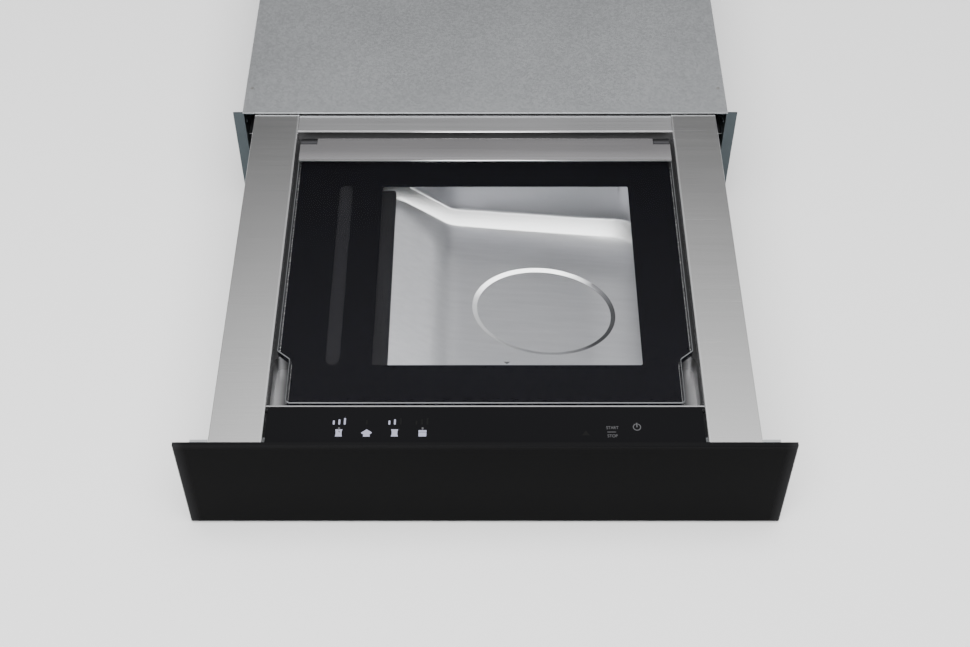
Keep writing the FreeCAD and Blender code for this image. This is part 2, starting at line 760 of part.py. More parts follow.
# Everything above the shelf, ramp and floor, from one outline at the front and one at the rear.
def floor_space(grow, top):
    reach = 20 + grow
    left = number(chamber_left) - reach
    right = number(chamber_right) + reach
    ramp_x, foot_x = number(ramp_start), number(ramp_end)
    shelf = number(shelf_level) - grow
    outlines = []
    for distance in (number(chamber_front) - reach, number(chamber_back) + reach):
        corners = [
            (left, shelf),
            (ramp_x, shelf),
            (foot_x, floor_height(foot_x, distance) - grow),
            (right, floor_height(right, distance) - grow),
            (right, top),
            (left, top),
        ]
        y = number(front_place) + distance
        spots = [FreeCAD.Vector(x, y, z) for x, z in corners]
        outlines.append(Part.makePolygon(spots + spots[:1]))
    space = Part.makeLoft(outlines, True, True)
    ramp_edges = [edge for edge in space.Edges if runs_along_ramp(edge, ramp_x, foot_x)]
    return space.makeFillet(number(ramp_round), ramp_edges)


def runs_along_ramp(edge, ramp_x, foot_x):
    first, last = [vertex.Point for vertex in edge.Vertexes]
    near = 0.1
    same = abs(first.x - last.x) < near < abs(first.y - last.y)
    return same and min(abs(first.x - ramp_x), abs(first.x - foot_x)) < near


# The space of the chamber grown outwards by an amount, with its lower edges rounded.
def chamber_space(grow, top):
    x = (chamber_left - grow, chamber_right + grow)
    y = (back(chamber_front) - grow, back(chamber_back) + grow)
    low = number(floor_deep - floor_fall) - 10
    upright = rounded_space(x, y, low, number(top), number(chamber_corner) + grow)
    space = upright.common(floor_space(grow, number(top) + 1))
    edges = [edge for edge in space.Edges if is_lower_wall_edge(edge, x, y, number(top))]
    return space.makeFillet(number(floor_corner) + grow, edges)


# Edges between the walls and the floor: neither upright, nor at the top, nor along the ramp.
def is_lower_wall_edge(edge, x, y, top):
    low, high = edge.ParameterRange
    spots = [edge.valueAt(low + (high - low) * share) for share in (0.2, 0.5, 0.8)]
    upright = abs(spots[0].x - spots[2].x) < 0.01 and abs(spots[0].y - spots[2].y) < 0.01
    inside = all(number(x[0]) + 1 < spot.x < number(x[1]) - 1
                 and number(y[0]) + 1 < spot.y < number(y[1]) - 1 for spot in spots)
    along = inside and abs(spots[0].y - spots[2].y) > 60
    return not upright and not along and spots[1].z < top - 1


# An oval block, sheared so that its flat faces follow the sloping floor.
def floor_oval(wide, long, low, high):
    centre = FreeCAD.Vector(number(ring_place), number(back(ring_back)), 0)
    spots = (wide / 2, long / 2)
    circle = Part.makeCylinder(1, high - low, FreeCAD.Vector(0, 0, low))
    stretch = FreeCAD.Matrix()
    stretch.A11, stretch.A22 = spots
    oval = circle.transformGeometry(stretch)
    shear = FreeCAD.Matrix()
    shear.A31 = -number(floor_fall) / number(chamber_right - ramp_end)
    shear.A32 = -number(floor_rise) / number(chamber_back - chamber_front)
    oval = oval.transformGeometry(shear)
    oval.translate(centre + FreeCAD.Vector(0, 0, floor_height(centre.x, number(ring_back))))
    return oval


# The ring is a shallow oval pressed down into the floor with a sloping edge.
def ring_hollow(grow):
    wide, long = number(ring_wide) + 2 * grow, number(ring_long) + 2 * grow
    slope, deep = number(ring_slope), number(ring_deep)
    rim = (wide, long, -grow)
    foot = (wide - 2 * slope, long - 2 * slope, -deep - grow)
    return floor_oval(wide, long, -grow, 1 - grow).fuse(oval_slope(rim, foot))


# The sloping edge between two ovals at two depths under the floor.
def oval_slope(upper, lower):
    wires = []
    for wide, long, level in (upper, lower):
        flat = floor_oval(wide, long, level, level + 1)
        bottom = min(flat.Faces, key=lambda face: face.CenterOfMass.z)
        wires.append(bottom.OuterWire)
    return Part.makeLoft(wires, True, True)


# The chamber is a pressed tank welded under the deck by its flange.
def make_tank():
    steel = number(sheet_steel)
    low = deck_level - sheet_steel
    inner = chamber_space(0.0, low)
    outer = chamber_space(steel, low)
    x = (chamber_left - tank_flange, chamber_right + tank_flange)
    y = (back(chamber_front) - tank_flange, back(chamber_back) + tank_flange)
    rim = rounded_space(x, y, number(low) - steel, number(low), number(chamber_corner + tank_flange))
    shape = outer.fuse(rim).fuse(ring_hollow(steel).common(under_floor()))
    through = 6
    port_foot = FreeCAD.Vector(number(port_place), number(back(chamber_back)) - through, number(port_level))
    along = FreeCAD.Vector(0, 1, 0)
    stub = Part.makeCylinder(number(port_radius), number(port_long) + through, port_foot, along)
    shape = shape.fuse(stub).cut(inner).cut(ring_hollow(0.0))
    hole = number(port_radius - port_wall)
    shape = shape.cut(Part.makeCylinder(hole, number(port_long) + 2 * through, port_foot, along))
    for y_rod in rod_spots:
        foot = FreeCAD.Vector(number(bar_place), number(y_rod), number(shelf_level) - through)
        shape = shape.cut(Part.makeCylinder(number(rod_radius + touching), 2 * through, foot))
    tank = doc.addObject("Part::Feature", "chamber_tank")
    tank.Shape = shape.removeSplitter()
    tank.Placement = FreeCAD.Placement()
    piece("chamber_tank", tank)


# A slab under the whole floor, so that the pressed ring's outside ends at the tank.
def under_floor():
    wide, long = number(2 * tray_half), number(drawer_depth)
    low = FreeCAD.Vector(-wide / 2, number(front_place), 0)
    return Part.makeBox(wide, long, number(shelf_level - tank_flange), low)


rod_spots = [back((chamber_front + chamber_back) / 2) + sign * lift_spread for sign in (-1, 1)]


# A soft ring on the deck round the chamber, just under the closed lid.
def make_gasket():
    gap = 5
    wide = 8
    low, high = deck_level, lid_under - film - touching
    inner = (chamber_left - gap, chamber_right + gap)
    inner_y = (back(chamber_front) - gap, back(chamber_back) + gap)
    outer = (inner[0] - wide, inner[1] + wide)
    outer_y = (inner_y[0] - wide, inner_y[1] + wide)
    ring = rounded_block("gasket_outer", outer, outer_y, (low, high), chamber_corner + gap + wide)
    hole = rounded_block("gasket_inner", inner, inner_y, (low - 1, high + 1), chamber_corner + gap)
    piece("lid_gasket", minus("lid_gasket", ring, [hole]))


# The carrier guides the sealing bar. Two rods lift the bar against the bar on the lid.
def make_sealing():
    middle = back((chamber_front + chamber_back) / 2)
    half = bar_wide / 2
    wall_side, shelf_side, end_room = 16.5, 2, 5
    wall_round, window_round = 18, 3
    left, right = bar_place - wall_side, ramp_start - shelf_side
    low = shelf_level + carrier_seat
    length = (middle - bar_long / 2, middle + bar_long / 2)
    long_carrier = (length[0] - end_room, length[1] + end_room)
    blank = prism("carrier_blank", "XY", rectangle((left, right), long_carrier), low, carrier_level,
                  [((0, 3), wall_round), ((1, 2), window_round)])
    groove = block("carrier_groove", (bar_place - half - touching, bar_place + half + touching),
                   (length[0] - touching, length[1] + touching), (low + carrier_floor, carrier_level + 1))
    spots = [(bar_place, y) for y in rod_spots]
    cuts = [groove] + holes("carrier_hole", "z", low - 1, low + carrier_floor + 1, spots,
                            rod_radius + touching)
    piece("sealing_carrier", minus("sealing_carrier", blank, cuts))
    bar_low = low + carrier_floor + touching
    strip_tall, strip_half, strip_short = 0.4, 2, 2
    seat = bar_level - strip_tall
    piece("sealing_bar", block("sealing_bar", (bar_place - half, bar_place + half), length, (bar_low, seat)))
    piece("heating_strip", block("heating_strip", (bar_place - strip_half, bar_place + strip_half),
                                 (length[0] + strip_short, length[1] - strip_short), (seat, bar_level)))
    cylinder_long, cylinder_radius, cylinder_floor = 27.5, 11, 3
    cylinder_high = shelf_level - sheet_steel
    cylinder_low = cylinder_high - cylinder_long
    rod_low = cylinder_low + 2 * cylinder_floor
    rods = [rod("lift_rod%d" % i, "z", rod_low, bar_low, (bar_place, y), rod_radius)
            for i, y in enumerate(rod_spots)]
    piece("lift_rods", union("lift_rods", rods))
    bodies = []
    for index, y in enumerate(rod_spots):
        body = rod("lift_body%d" % index, "z", cylinder_low, cylinder_high, (bar_place, y), cylinder_radius)
        bore = rod("lift_bore%d" % index, "z", cylinder_low + cylinder_floor, cylinder_high + 1,
                   (bar_place, y), rod_radius + running)
        bodies.append(minus("lift_cylinder%d" % index, body, [bore]))
    piece("lift_cylinders", union("lift_cylinders", bodies))


# The lid is a thick glass with a dark border under it.
def lid_outline(shrink):
    side, narrow = lid_half - shrink, notch_half - shrink
    front, rear = back(lid_front) + shrink, back(lid_back) - shrink
    start, end = back(notch_start), back(notch_end)
    half = [(narrow, front), (narrow, start), (side, end), (side, rear)]
    return half + [(-x, y) for x, y in reversed(half)]


def make_lid():
    front_round = 5
    notch_round = 3
    window_round = 2
    slot_longer = 1.5
    near = 0.001
    rounds = [((0, 7), front_round), ((1, 2, 5, 6), notch_round)]
    glass = prism("lid_glass", "XY", lid_outline(0), lid_under, lid_level, rounds)
    pad = glass.Tip
    rim = [index for index, edge in enumerate(pad.Shape.Edges)
           if all(abs(vertex.Point.z - lid_level.value) < near for vertex in edge.Vertexes)]
    bevel = glass.newObject("PartDesign::Chamfer", "lid_glass_bevel")
    bevel.Base = (pad, ["Edge%d" % (index + 1) for index in rim])
    bevel.Size = 0.8
    piece("lid_glass", glass)
    film_low = lid_under - film
    border = prism("border_blank", "XY", lid_outline(border_inset), film_low, lid_under,
                   [((0, 7), front_round / 2), ((1, 2, 5, 6), notch_round)])
    through = (film_low - 1, lid_under + 1)
    window = rounded_block("border_window", (window_left, window_right),
                           (back(window_front), back(window_back)), through, window_round)
    slot = rounded_block("border_slot", (bar_place - slot_wide / 2, bar_place + slot_wide / 2),
                         (back(window_front), back(window_back) + slot_longer), through,
                         slot_wide / 2 - 0.01)
    piece("lid_border", minus("lid_border", border, [window, slot]))
    make_counter_bar(film_low)


# A soft bar under the lid faces the sealing bar.
def make_counter_bar(film_low):
    wider, longer, corner = 1, 4, 3
    counter_low = bar_level + bar_lift + touching * 2
    middle = back((chamber_front + chamber_back) / 2)
    half = bar_wide / 2 + wider
    length = (middle - bar_long / 2 - longer, middle + bar_long / 2 + longer)
    piece("counter_bar", rounded_block("counter_bar", (bar_place - half, bar_place + half), length,
                                       (counter_low, film_low), corner))


# A profile grips the rear of the glass and is round behind the hinge line.
def make_hinge():
    top = pivot_level + pivot_round
    rear = back(pivot_back) + pivot_round
    low = pivot_level - pivot_round
    web = back(lid_back) + touching
    outline = [
        (back(hinge_front), top),
        (rear, top),
        (rear, low),
        (web, low),
        (web, lid_level),
        (back(hinge_front), lid_level),
    ]
    profile = prism("profile_bar", "YZ", outline, -lid_half, lid_half, [((1, 2), pivot_round - 0.01)])
    line = (back(pivot_back), pivot_level)
    cuts = []
    pins = []
    knuckles = []
    pin_long = 22
    pocket_room = 1.5
    for side, sign in (("left", -1), ("right", 1)):
        start, end = knuckle_place, knuckle_place + knuckle_wide
        gap = (start - touching, lid_half + 1)
        pin = (start - pin_long, end)
        bore = (start - pin_long - 1, start)
        seat = (start, end)
        if sign < 0:
            gap, pin, bore, seat = mirrored(gap), mirrored(pin), mirrored(bore), mirrored(seat)
        pocket_front = back(pivot_back) - pivot_round - pocket_room
        cuts.append(block("profile_pocket_" + side, gap, (pocket_front, rear + 1), (low - 1, top + 1)))
        cuts.append(rod("profile_bore_" + side, "x", bore[0], bore[1], line, pin_radius + running))
        pins.append(rod("pin_" + side, "x", pin[0], pin[1], line, pin_radius))
        knuckles.append(make_knuckle(side, seat, line))
    piece("hinge_profile", minus("hinge_profile", profile, cuts))
    piece("hinge_pins", union("hinge_pins", pins))
    piece("hinge_knuckles", union("hinge_knuckles", knuckles))


def make_knuckle(side, seat, line):
    half = pivot_round - 0.3
    outline = [
        (line[0] - half, deck_level),
        (line[0] + half, deck_level),
        (line[0] + half, pivot_level + half),
        (line[0] - half, pivot_level + half),
    ]
    blank = prism("knuckle_" + side, "YZ", outline, seat[0], seat[1], [((2, 3), half - 0.01)])
    bore = rod("knuckle_bore_" + side, "x", seat[0] - 1, seat[1] + 1, line, pin_radius + 0.01)
    return minus("knuckle_bored_" + side, blank, [bore])


# The rear cover closes the space behind the lid.
def make_rear_cover():
    half = beam_inner - touching
    under_beams, over_deck, corner = 1, 4, 1.2
    top = beam_level - under_beams
    front = back(deck_end) - over_deck
    outline = [
        (front, deck_level),
        (front + sheet_steel, deck_level),
        (front + sheet_steel, top - sheet_steel),
        (back(rear_face), top - sheet_steel),
        (back(rear_face), top),
        (front, top),
    ]
    piece("rear_cover", prism("rear_cover", "YZ", outline, -half, half, [((5,), corner)]))


# The motor and the pump share one shaft across the drawer.
def make_pump():
    line = (back(pump_back), pump_level)
    make_motor(line)
    pump_left = motor_left - pump_long
    shaft_inset, shaft_outside = 2, 16
    piece("pump_shaft", rod("pump_shaft", "x", pump_left + shaft_inset, motor_right + shaft_outside, line,
                            shaft_radius))
    make_pump_body(line, pump_left)
    make_pump_rotor(line, (pump_left + touching, motor_left - cover_thick - touching))
    make_end_cover(line, pump_left)
    make_pump_mount(line)
    make_hose()


def make_motor(line):
    bearing_wall = 6
    inside = (motor_left + plate_thick, motor_right - plate_thick)
    casing = rod("casing_outer", "x", motor_left, motor_right, line, motor_radius)
    hollow = rod("casing_hollow", "x", inside[0], inside[1], line, motor_radius - casing_wall)
    seats = rod("casing_seats", "x", motor_left - 1, motor_right + 1, line,
                shaft_radius + bearing_wall + running)
    piece("motor_casing", minus("motor_casing", casing, [hollow, seats]))
    rings = [pipe("bearing%d" % index, "x", low, low + plate_thick, line, shaft_radius + bearing_wall,
                  shaft_radius + running) for index, low in enumerate((motor_left, inside[1]))]
    piece("motor_bearings", union("motor_bearings", rings))
    end_room, coil_long, coil_room = 28, 12, 4.5
    rotor_bore, air_gap = 28, 0.6
    iron_radius = motor_radius - casing_wall - touching
    stack = (motor_left + end_room, motor_right - end_room)
    iron = pipe("stator_iron", "x", stack[0], stack[1], line, iron_radius, rotor_bore)
    coils = [pipe("stator_coil%d" % index, "x", low, low + coil_long, line, iron_radius - coil_room,
                  rotor_bore + 2) for index, low in enumerate((stack[0] - coil_long, stack[1]))]
    piece("motor_stator", union("motor_stator", [iron] + coils))
    piece("motor_rotor", pipe("motor_rotor", "x", stack[0] - 1, stack[1] + 1, line, rotor_bore - air_gap,
                              shaft_radius + running))


# The inlet of the pump runs over it at the height of the port and down a riser into the bore.
def make_pump_body(line, pump_left):
    low_line = (back(pump_back), pump_level - bore_offset)
    stub_long, riser_wall = 6, 2
    riser_hole_wall = 3
    stub_front = back(pump_back) - pump_radius - stub_long
    port = (port_place, port_level)
    over_pump = (port_place, back(pump_back))
    body = rod("pump_outer", "x", pump_left, motor_left, line, pump_radius)
    stub = rod("pump_stub", "y", stub_front, back(pump_back), port, port_radius)
    riser_top = port_level + port_radius + riser_wall
    riser_radius = port_radius + riser_wall
    riser = rod("pump_riser", "z", pump_level, riser_top, over_pump, riser_radius)
    bore = rod("pump_bore", "x", pump_left - 1, motor_left - cover_thick, low_line, bore_radius)
    shaft_hole = rod("pump_shaft_hole", "x", motor_left - cover_thick - 1, motor_left + 1, line,
                     shaft_radius + touching)
    stub_hole = rod("pump_stub_hole", "y", stub_front - 1, back(pump_back), port, port_radius - port_wall)
    riser_hole = rod("pump_riser_hole", "z", pump_level, riser_top - riser_hole_wall, over_pump,
                     riser_radius - riser_hole_wall)
    blank = union("pump_blank", [body, stub, riser])
    piece("pump_body", minus("pump_body", blank, [bore, shaft_hole, stub_hole, riser_hole]))


# Three vanes slide in the rotor and sweep the bore.
def make_pump_rotor(line, ends):
    rotor = pipe("rotor_core", "x", ends[0], ends[1], line, rotor_radius, shaft_radius + running)
    vane_count = 3
    vane_half, vane_foot = 2, 10
    vane_play, tip_gap, overshoot = 0.1, 0.3, 2
    inside = (ends[0] + 1, ends[1] - 1)
    slots = []
    vanes = []
    for index in range(vane_count):
        turn = FreeCAD.Rotation(FreeCAD.Vector(1, 0, 0), 360 / vane_count * index)
        slots.append(radial_block("rotor_slot%d" % index, ends, line, vane_half + vane_play,
                                  vane_foot - vane_play, rotor_radius + overshoot, turn))
        vanes.append(radial_block("vane%d" % index, inside, line, vane_half, vane_foot,
                                  rotor_radius - tip_gap, turn))
    piece("pump_rotor", minus("pump_rotor", rotor, slots))
    piece("pump_vanes", union("pump_vanes", vanes))


def make_end_cover(line, pump_left):
    bolt_count, bolt_inset, bolt_tall, bolt_radius = 6, 4.5, 3, 3
    outer = pump_left - cover_thick
    parts = [rod("cover_disc", "x", outer, pump_left, line, pump_radius)]
    reach = pump_radius - bolt_inset
    for index in range(bolt_count):
        angle = 2 * math.pi * (index + 0.5) / bolt_count
        spot = (line[0] + reach * math.cos(angle), line[1] + reach * math.sin(angle))
        parts.append(rod("cover_bolt%d" % index, "x", outer - bolt_tall, outer, spot, bolt_radius))
    piece("pump_end_cover", union("pump_end_cover", parts))


# A block that reaches outwards from a line along X, turned about that line.
def radial_block(name, ends, line, half, low, high, turn):
    solid = doc.addObject("Part::Box", name)
    bind(solid, "Length", ends[1] - ends[0])
    bind(solid, "Width", 2 * half)
    bind(solid, "Height", high - low)
    corner = turn.multVec(FreeCAD.Vector(0, -half, low))
    solid.Placement = FreeCAD.Placement(FreeCAD.Vector(), turn)
    move(solid, ends[0], line[0] + corner.y, line[1] + corner.z)
    return solid


# The motor lies in two cradles on a plate with rubber feet.
def make_pump_mount(line):
    plate_inset, plate_half = 6, 40
    cradle_end, cradle_side, cradle_long, cradle_tall = 5, 8, 12, 14
    foot_inset, foot_radius = 10, 8
    plate_low = floor_top + foot_tall
    plate_top = pump_level - motor_radius
    x = (motor_left + plate_inset, motor_right - plate_inset)
    y = (line[0] - plate_half, line[0] + plate_half)
    plate = block("bracket_plate", x, y, (plate_low, plate_top))
    cradles = [block("bracket_cradle%d" % index, (low, low + cradle_long),
                     (y[0] + cradle_side, y[1] - cradle_side), (plate_top, plate_top + cradle_tall))
               for index, low in enumerate((x[0] + cradle_end, x[1] - cradle_end - cradle_long))]
    motor = rod("bracket_motor", "x", x[0] - 1, x[1] + 1, line, motor_radius + touching)
    piece("pump_bracket", minus("pump_bracket", union("bracket_blank", [plate] + cradles), [motor]))
    spots = [(across, along) for across in (x[0] + foot_inset, x[1] - foot_inset)
             for along in (y[0] + foot_inset, y[1] - foot_inset)]
    piece("pump_feet", union("pump_feet", holes("pump_foot", "z", floor_top, plate_low, spots, foot_radius)))


# A short hose joins the port of the chamber to the inlet of the pump.
def make_hose():
    overlap = 6
    ends = (back(chamber_back) + port_long - overlap, back(pump_back) - pump_radius)
    piece("suction_hose", pipe("suction_hose", "y", ends[0], ends[1], (port_place, port_level),
                               port_radius + hose_wall, port_radius + running))


# A valve lets air back into the chamber. It stands on the floor at the right of the motor.
def make_valve():
    middle = (127, back(415))
    half = 15
    body_tall, coil_tall, cap_tall = 22, 24, 6
    coil_radius, cap_radius, stub_radius, stub_long = 13, 5, 4, 10
    coil_low = floor_top + body_tall
    cap_low = coil_low + coil_tall
    face = middle[1] - half
    body = block("valve_block", (middle[0] - half, middle[0] + half), (face, middle[1] + half),
                 (floor_top, coil_low))
    coil = rod("valve_coil", "z", coil_low, cap_low, middle, coil_radius)
    cap = rod("valve_cap", "z", cap_low, cap_low + cap_tall, middle, cap_radius)
    stub = rod("valve_stub", "y", face - stub_long, face, (middle[0], floor_top + body_tall / 2), stub_radius)
    piece("vent_valve", union("vent_valve", [body, coil, cap, stub]))


# Left, front, width, depth and height of each part on the power board, then its round parts and posts.
power_blocks = [
    (-240, 60, 24, 30, 22),
    (-208, 60, 30, 20, 16),
    (-170, 64, 18, 26, 26),
    (-240, 110, 40, 34, 30),
    (-190, 112, 22, 22, 18),
    (-150, 120, 28, 18, 14),
    (-236, 170, 18, 40, 12),
    (-200, 170, 60, 12, 20),
]
power_cans = [(-180, 95), (-140, 95), (-160, 200), (-128, 200)]
power_posts = [(-241, 55), (-117, 55), (-241, 225), (-117, 225)]


# Electronics stand on the tray floor under the shelf of the chamber.
def make_electronics():
    post_tall, board_thick = 4, 1.6
    can_tall, can_radius, post_radius = 24, 7, 4
    low = floor_top + post_tall
    top = low + board_thick
    parts = [block("power_sheet", (-246, -112), (back(50), back(230)), (low, top))]
    for index, (left, front, wide, deep, tall) in enumerate(power_blocks):
        parts.append(block("power_part%d" % index, (left, left + wide), (back(front), back(front + deep)),
                           (top, top + tall)))
    cans = [(across, back(along)) for across, along in power_cans]
    posts = [(across, back(along)) for across, along in power_posts]
    parts += holes("power_can", "z", top, top + can_tall, cans, can_radius)
    parts += holes("power_post", "z", floor_top, low, posts, post_radius)
    piece("power_board", union("power_board", parts))
    core_half, core_tall = 30, 58
    coil_half, coil_long, coil_tall = 22, 42, 40
    x, y = -208, back(288)
    middle = floor_top + core_tall / 2
    core = block("transformer_core", (x - core_half, x + core_half), (y - core_half, y + core_half),
                 (floor_top, floor_top + core_tall))
    coil = block("transformer_coil", (x - coil_half, x + coil_half), (y - coil_long, y + coil_long),
                 (middle - coil_tall / 2, middle + coil_tall / 2))
    piece("seal_transformer", union("seal_transformer", [core, coil]))


# An axial fan behind the grille draws air through the drawer.
def make_fan():
    half = fan_size / 2
    corner, strut_half, strut_deep, strut_seat = 5, 2, 3, 1
    axle_radius, axle_inset, hub_inset = 2, 5, 2
    x = (fan_place - half, fan_place + half)
    z = (fan_level - half, fan_level + half)
    y = (back(rear_face) - fan_deep, back(rear_face))
    struts_y = (y[1] - strut_deep, y[1])
    line = (fan_place, fan_level)
    blank = prism("fan_blank", "XZ", rectangle(x, z), y[0], y[1], [((0, 1, 2, 3), corner)])
    opening = rod("fan_opening", "y", y[0] - 1, y[1] + 1, line, fan_bore)
    frame = [
        minus("fan_ring", blank, [opening]),
        rod("fan_seat", "y", struts_y[0], struts_y[1], line, hub_radius),
        rod("fan_axle", "y", y[0] + axle_inset, y[1], line, axle_radius),
        block("fan_strut0", (x[0] + strut_seat, x[1] - strut_seat), struts_y,
              (fan_level - strut_half, fan_level + strut_half)),
        block("fan_strut1", (fan_place - strut_half, fan_place + strut_half), struts_y,
              (z[0] + strut_seat, z[1] - strut_seat)),
    ]
    piece("fan_frame", union("fan_frame", frame))
    hub_ends = (y[0] + hub_inset, struts_y[0] - 1)
    hub = rod("fan_hub", "y", hub_ends[0], hub_ends[1], line, hub_radius)
    bore = rod("fan_hub_bore", "y", y[0] + axle_inset - 1, hub_ends[1] + 1, line, axle_radius + running)
    limit = rod("fan_limit", "y", hub_ends[0], hub_ends[1], line, blade_reach + touching)
    swept = doc.addObject("Part::MultiCommon", "fan_blades")
    swept.Shapes = [union("fan_blades_all", make_blades((hub_ends[0] + hub_ends[1]) / 2)), limit]
    piece("fan_impeller", minus("fan_impeller", union("fan_rotor", [hub, swept]), [bore]))


# Flat blades set at a pitch round the hub, longer than the hub is deep.
def make_blades(middle):
    count, pitch = 7, 35
    long, thick, root = 22, 1.4, 3
    blades = []
    for index in range(count):
        around = FreeCAD.Rotation(FreeCAD.Vector(0, 1, 0), 360 / count * index)
        turn = around.multiply(FreeCAD.Rotation(FreeCAD.Vector(0, 0, 1), pitch))
        corner = turn.multVec(FreeCAD.Vector(-thick / 2, -long / 2, number(hub_radius) - root))
        blade = doc.addObject("Part::Box", "fan_blade%d" % index)
        bind(blade, "Length", thick)
        bind(blade, "Width", long)
        bind(blade, "Height", blade_reach - hub_radius + root - 1)
        blade.Placement = FreeCAD.Placement(FreeCAD.Vector(), turn)
        move(blade, fan_place + corner.x, middle + corner.y, fan_level + corner.z)
        blades.append(blade)
    return blades


make_housing()
make_latch()
make_slides()
make_chassis()
make_front()
make_controls()
make_deck()
make_tank()
make_gasket()
make_sealing()
make_lid()
make_hinge()
make_rear_cover()
make_pump()
make_valve()
make_electronics()
make_fan()
doc.recompute()

# Nothing is written unless every object and every piece is sound.
for thing in doc.Objects:
    if "Invalid" in thing.State or "Error" in thing.State:
        raise RuntimeError("failed: " + thing.Label)
for solid in nodes:
    if solid.Shape.isNull() or not solid.Shape.isValid() or not solid.Shape.Solids:
        raise RuntimeError("bad shape: " + solid.Label)
os.makedirs("parts", exist_ok=True)
for solid in nodes:
    solid.Shape.exportStep("parts/" + solid.Label + ".step")
    print(solid.Label, len(solid.Shape.Solids), round(solid.Shape.Volume / 1000, 2), "cm3")
print(len(nodes), "pieces")
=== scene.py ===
import bpy
import bmesh
import math
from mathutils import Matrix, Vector


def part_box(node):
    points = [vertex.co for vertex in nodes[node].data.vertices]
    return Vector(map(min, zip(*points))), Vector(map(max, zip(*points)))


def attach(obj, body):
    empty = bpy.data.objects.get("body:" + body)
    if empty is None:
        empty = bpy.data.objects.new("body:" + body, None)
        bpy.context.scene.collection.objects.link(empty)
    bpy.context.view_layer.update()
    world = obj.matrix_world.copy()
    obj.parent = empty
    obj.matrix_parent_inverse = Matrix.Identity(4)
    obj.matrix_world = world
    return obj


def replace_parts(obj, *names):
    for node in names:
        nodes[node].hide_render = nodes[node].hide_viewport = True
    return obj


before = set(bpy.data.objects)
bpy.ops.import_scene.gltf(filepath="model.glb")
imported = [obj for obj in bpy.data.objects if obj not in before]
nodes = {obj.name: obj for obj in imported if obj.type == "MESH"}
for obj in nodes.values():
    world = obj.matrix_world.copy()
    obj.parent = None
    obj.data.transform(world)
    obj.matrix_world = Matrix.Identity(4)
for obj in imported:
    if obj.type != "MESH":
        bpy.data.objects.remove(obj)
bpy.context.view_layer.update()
print("frame loaded:", len(nodes), "nodes")

mm = 0.001
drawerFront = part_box("front_glass")[0].y
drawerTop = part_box("front_glass")[1].z
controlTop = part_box("control_glass")[1].z


class Value:
    # a socket that takes part in plain arithmetic
    def __init__(self, maker, socket):
        self.maker = maker
        self.socket = socket

    def math(self, operation, first, second):
        made = self.maker.node("ShaderNodeMath", {"operation": operation}, {0: first, 1: second})
        return Value(self.maker, made.outputs[0])

    def __add__(self, other):
        return self.math("ADD", self, other)

    def __sub__(self, other):
        return self.math("SUBTRACT", self, other)

    def __rsub__(self, other):
        return self.math("SUBTRACT", other, self)

    def __neg__(self):
        return self.math("SUBTRACT", 0, self)

    def __mul__(self, other):
        return self.math("MULTIPLY", self, other)

    def __truediv__(self, other):
        return self.math("DIVIDE", self, other)

    def __pow__(self, other):
        return self.math("POWER", self, other)

    def __abs__(self):
        return self.math("ABSOLUTE", self, 0)

    def over(self, other):
        return self.math("GREATER_THAN", self, other)

    def clamp(self):
        return self.math("MINIMUM", self.math("MAXIMUM", self, 0), 1)

    def rise(self, start, length):
        # from 0 at the start to 1 one length further on
        return ((self - start) / length).clamp()


# detail and roughness of the kinds of noise in use
noiseKinds = {"fine": (4.0, 0.6), "streak": (3.0, 0.6), "cloud": (2.0, 0.5), "skin": (2.0, 0.6),
              "print": (3.0, 0.5), "glow": (1.0, 0.5)}


class Maker:
    # the node tree of one material or of the world
    def __init__(self, tree):
        self.tree = tree
        tree.nodes.clear()

    def node(self, kind, settings=None, sockets=None):
        made = self.tree.nodes.new(kind)
        for key, value in (settings or {}).items():
            if key == "stops":
                self.fillRamp(made.color_ramp, value)
            else:
                setattr(made, key, value)
        for key, value in (sockets or {}).items():
            self.feed(made.inputs[key], value)
        return made

    def feed(self, target, value):
        if isinstance(value, Value):
            self.tree.links.new(value.socket, target)
        elif isinstance(value, bpy.types.NodeSocket):
            self.tree.links.new(value, target)
        else:
            target.default_value = value

    def fillRamp(self, ramp, stops):
        while len(ramp.elements) < len(stops):
            ramp.elements.new(0.5)
        for element, (place, colour) in zip(ramp.elements, stops):
            element.position = place
            element.color = rgb(colour)

    def spot(self):
        return self.node("ShaderNodeTexCoord").outputs["Object"]

    def axes(self, vector=None):
        # the three parts of a vector, or of the place on the piece
        split = self.node("ShaderNodeSeparateXYZ", None, {0: self.spot() if vector is None else vector})
        return [Value(self, output) for output in split.outputs]

    def noise(self, scale, kind="cloud", centre=(0, 0, 0)):
        # noise on the piece's own place, stretched by a scale for each axis
        scale = scale if isinstance(scale, tuple) else (scale, scale, scale)
        detail, rough = noiseKinds[kind]
        mapped = self.node("ShaderNodeMapping", None,
                           {"Vector": self.spot(), "Scale": scale, "Location": centre})
        made = self.node("ShaderNodeTexNoise", {"noise_dimensions": "3D"},
                         {"Vector": mapped.outputs[0], "Scale": 1.0, "Detail": detail, "Roughness": rough})
        return Value(self, made.outputs["Fac"])

    def blend(self, factor, first, second):
        made = self.node("ShaderNodeMix", {"data_type": "RGBA"}, {0: factor, 6: first, 7: second})
        return made.outputs[2]

    def turn(self, factor, first, second):
        # a normal that leans from one direction to another
        mixed = self.node("ShaderNodeMix", {"data_type": "VECTOR"}, {0: factor, 4: first, 5: second})
        return self.node("ShaderNodeVectorMath", {"operation": "NORMALIZE"}, {0: mixed.outputs[1]}).outputs[0]

    def bump(self, height, strength, distance):
        made = self.node("ShaderNodeBump", None,
                         {"Strength": strength, "Distance": distance, "Height": height})
        return made.outputs[0]

    def surface(self, sockets):
        shader = self.node("ShaderNodeBsdfPrincipled", None, sockets)
        self.node("ShaderNodeOutputMaterial", None, {"Surface": shader.outputs[0]})


def rgb(colour):
    return (colour[0], colour[1], colour[2], 1)


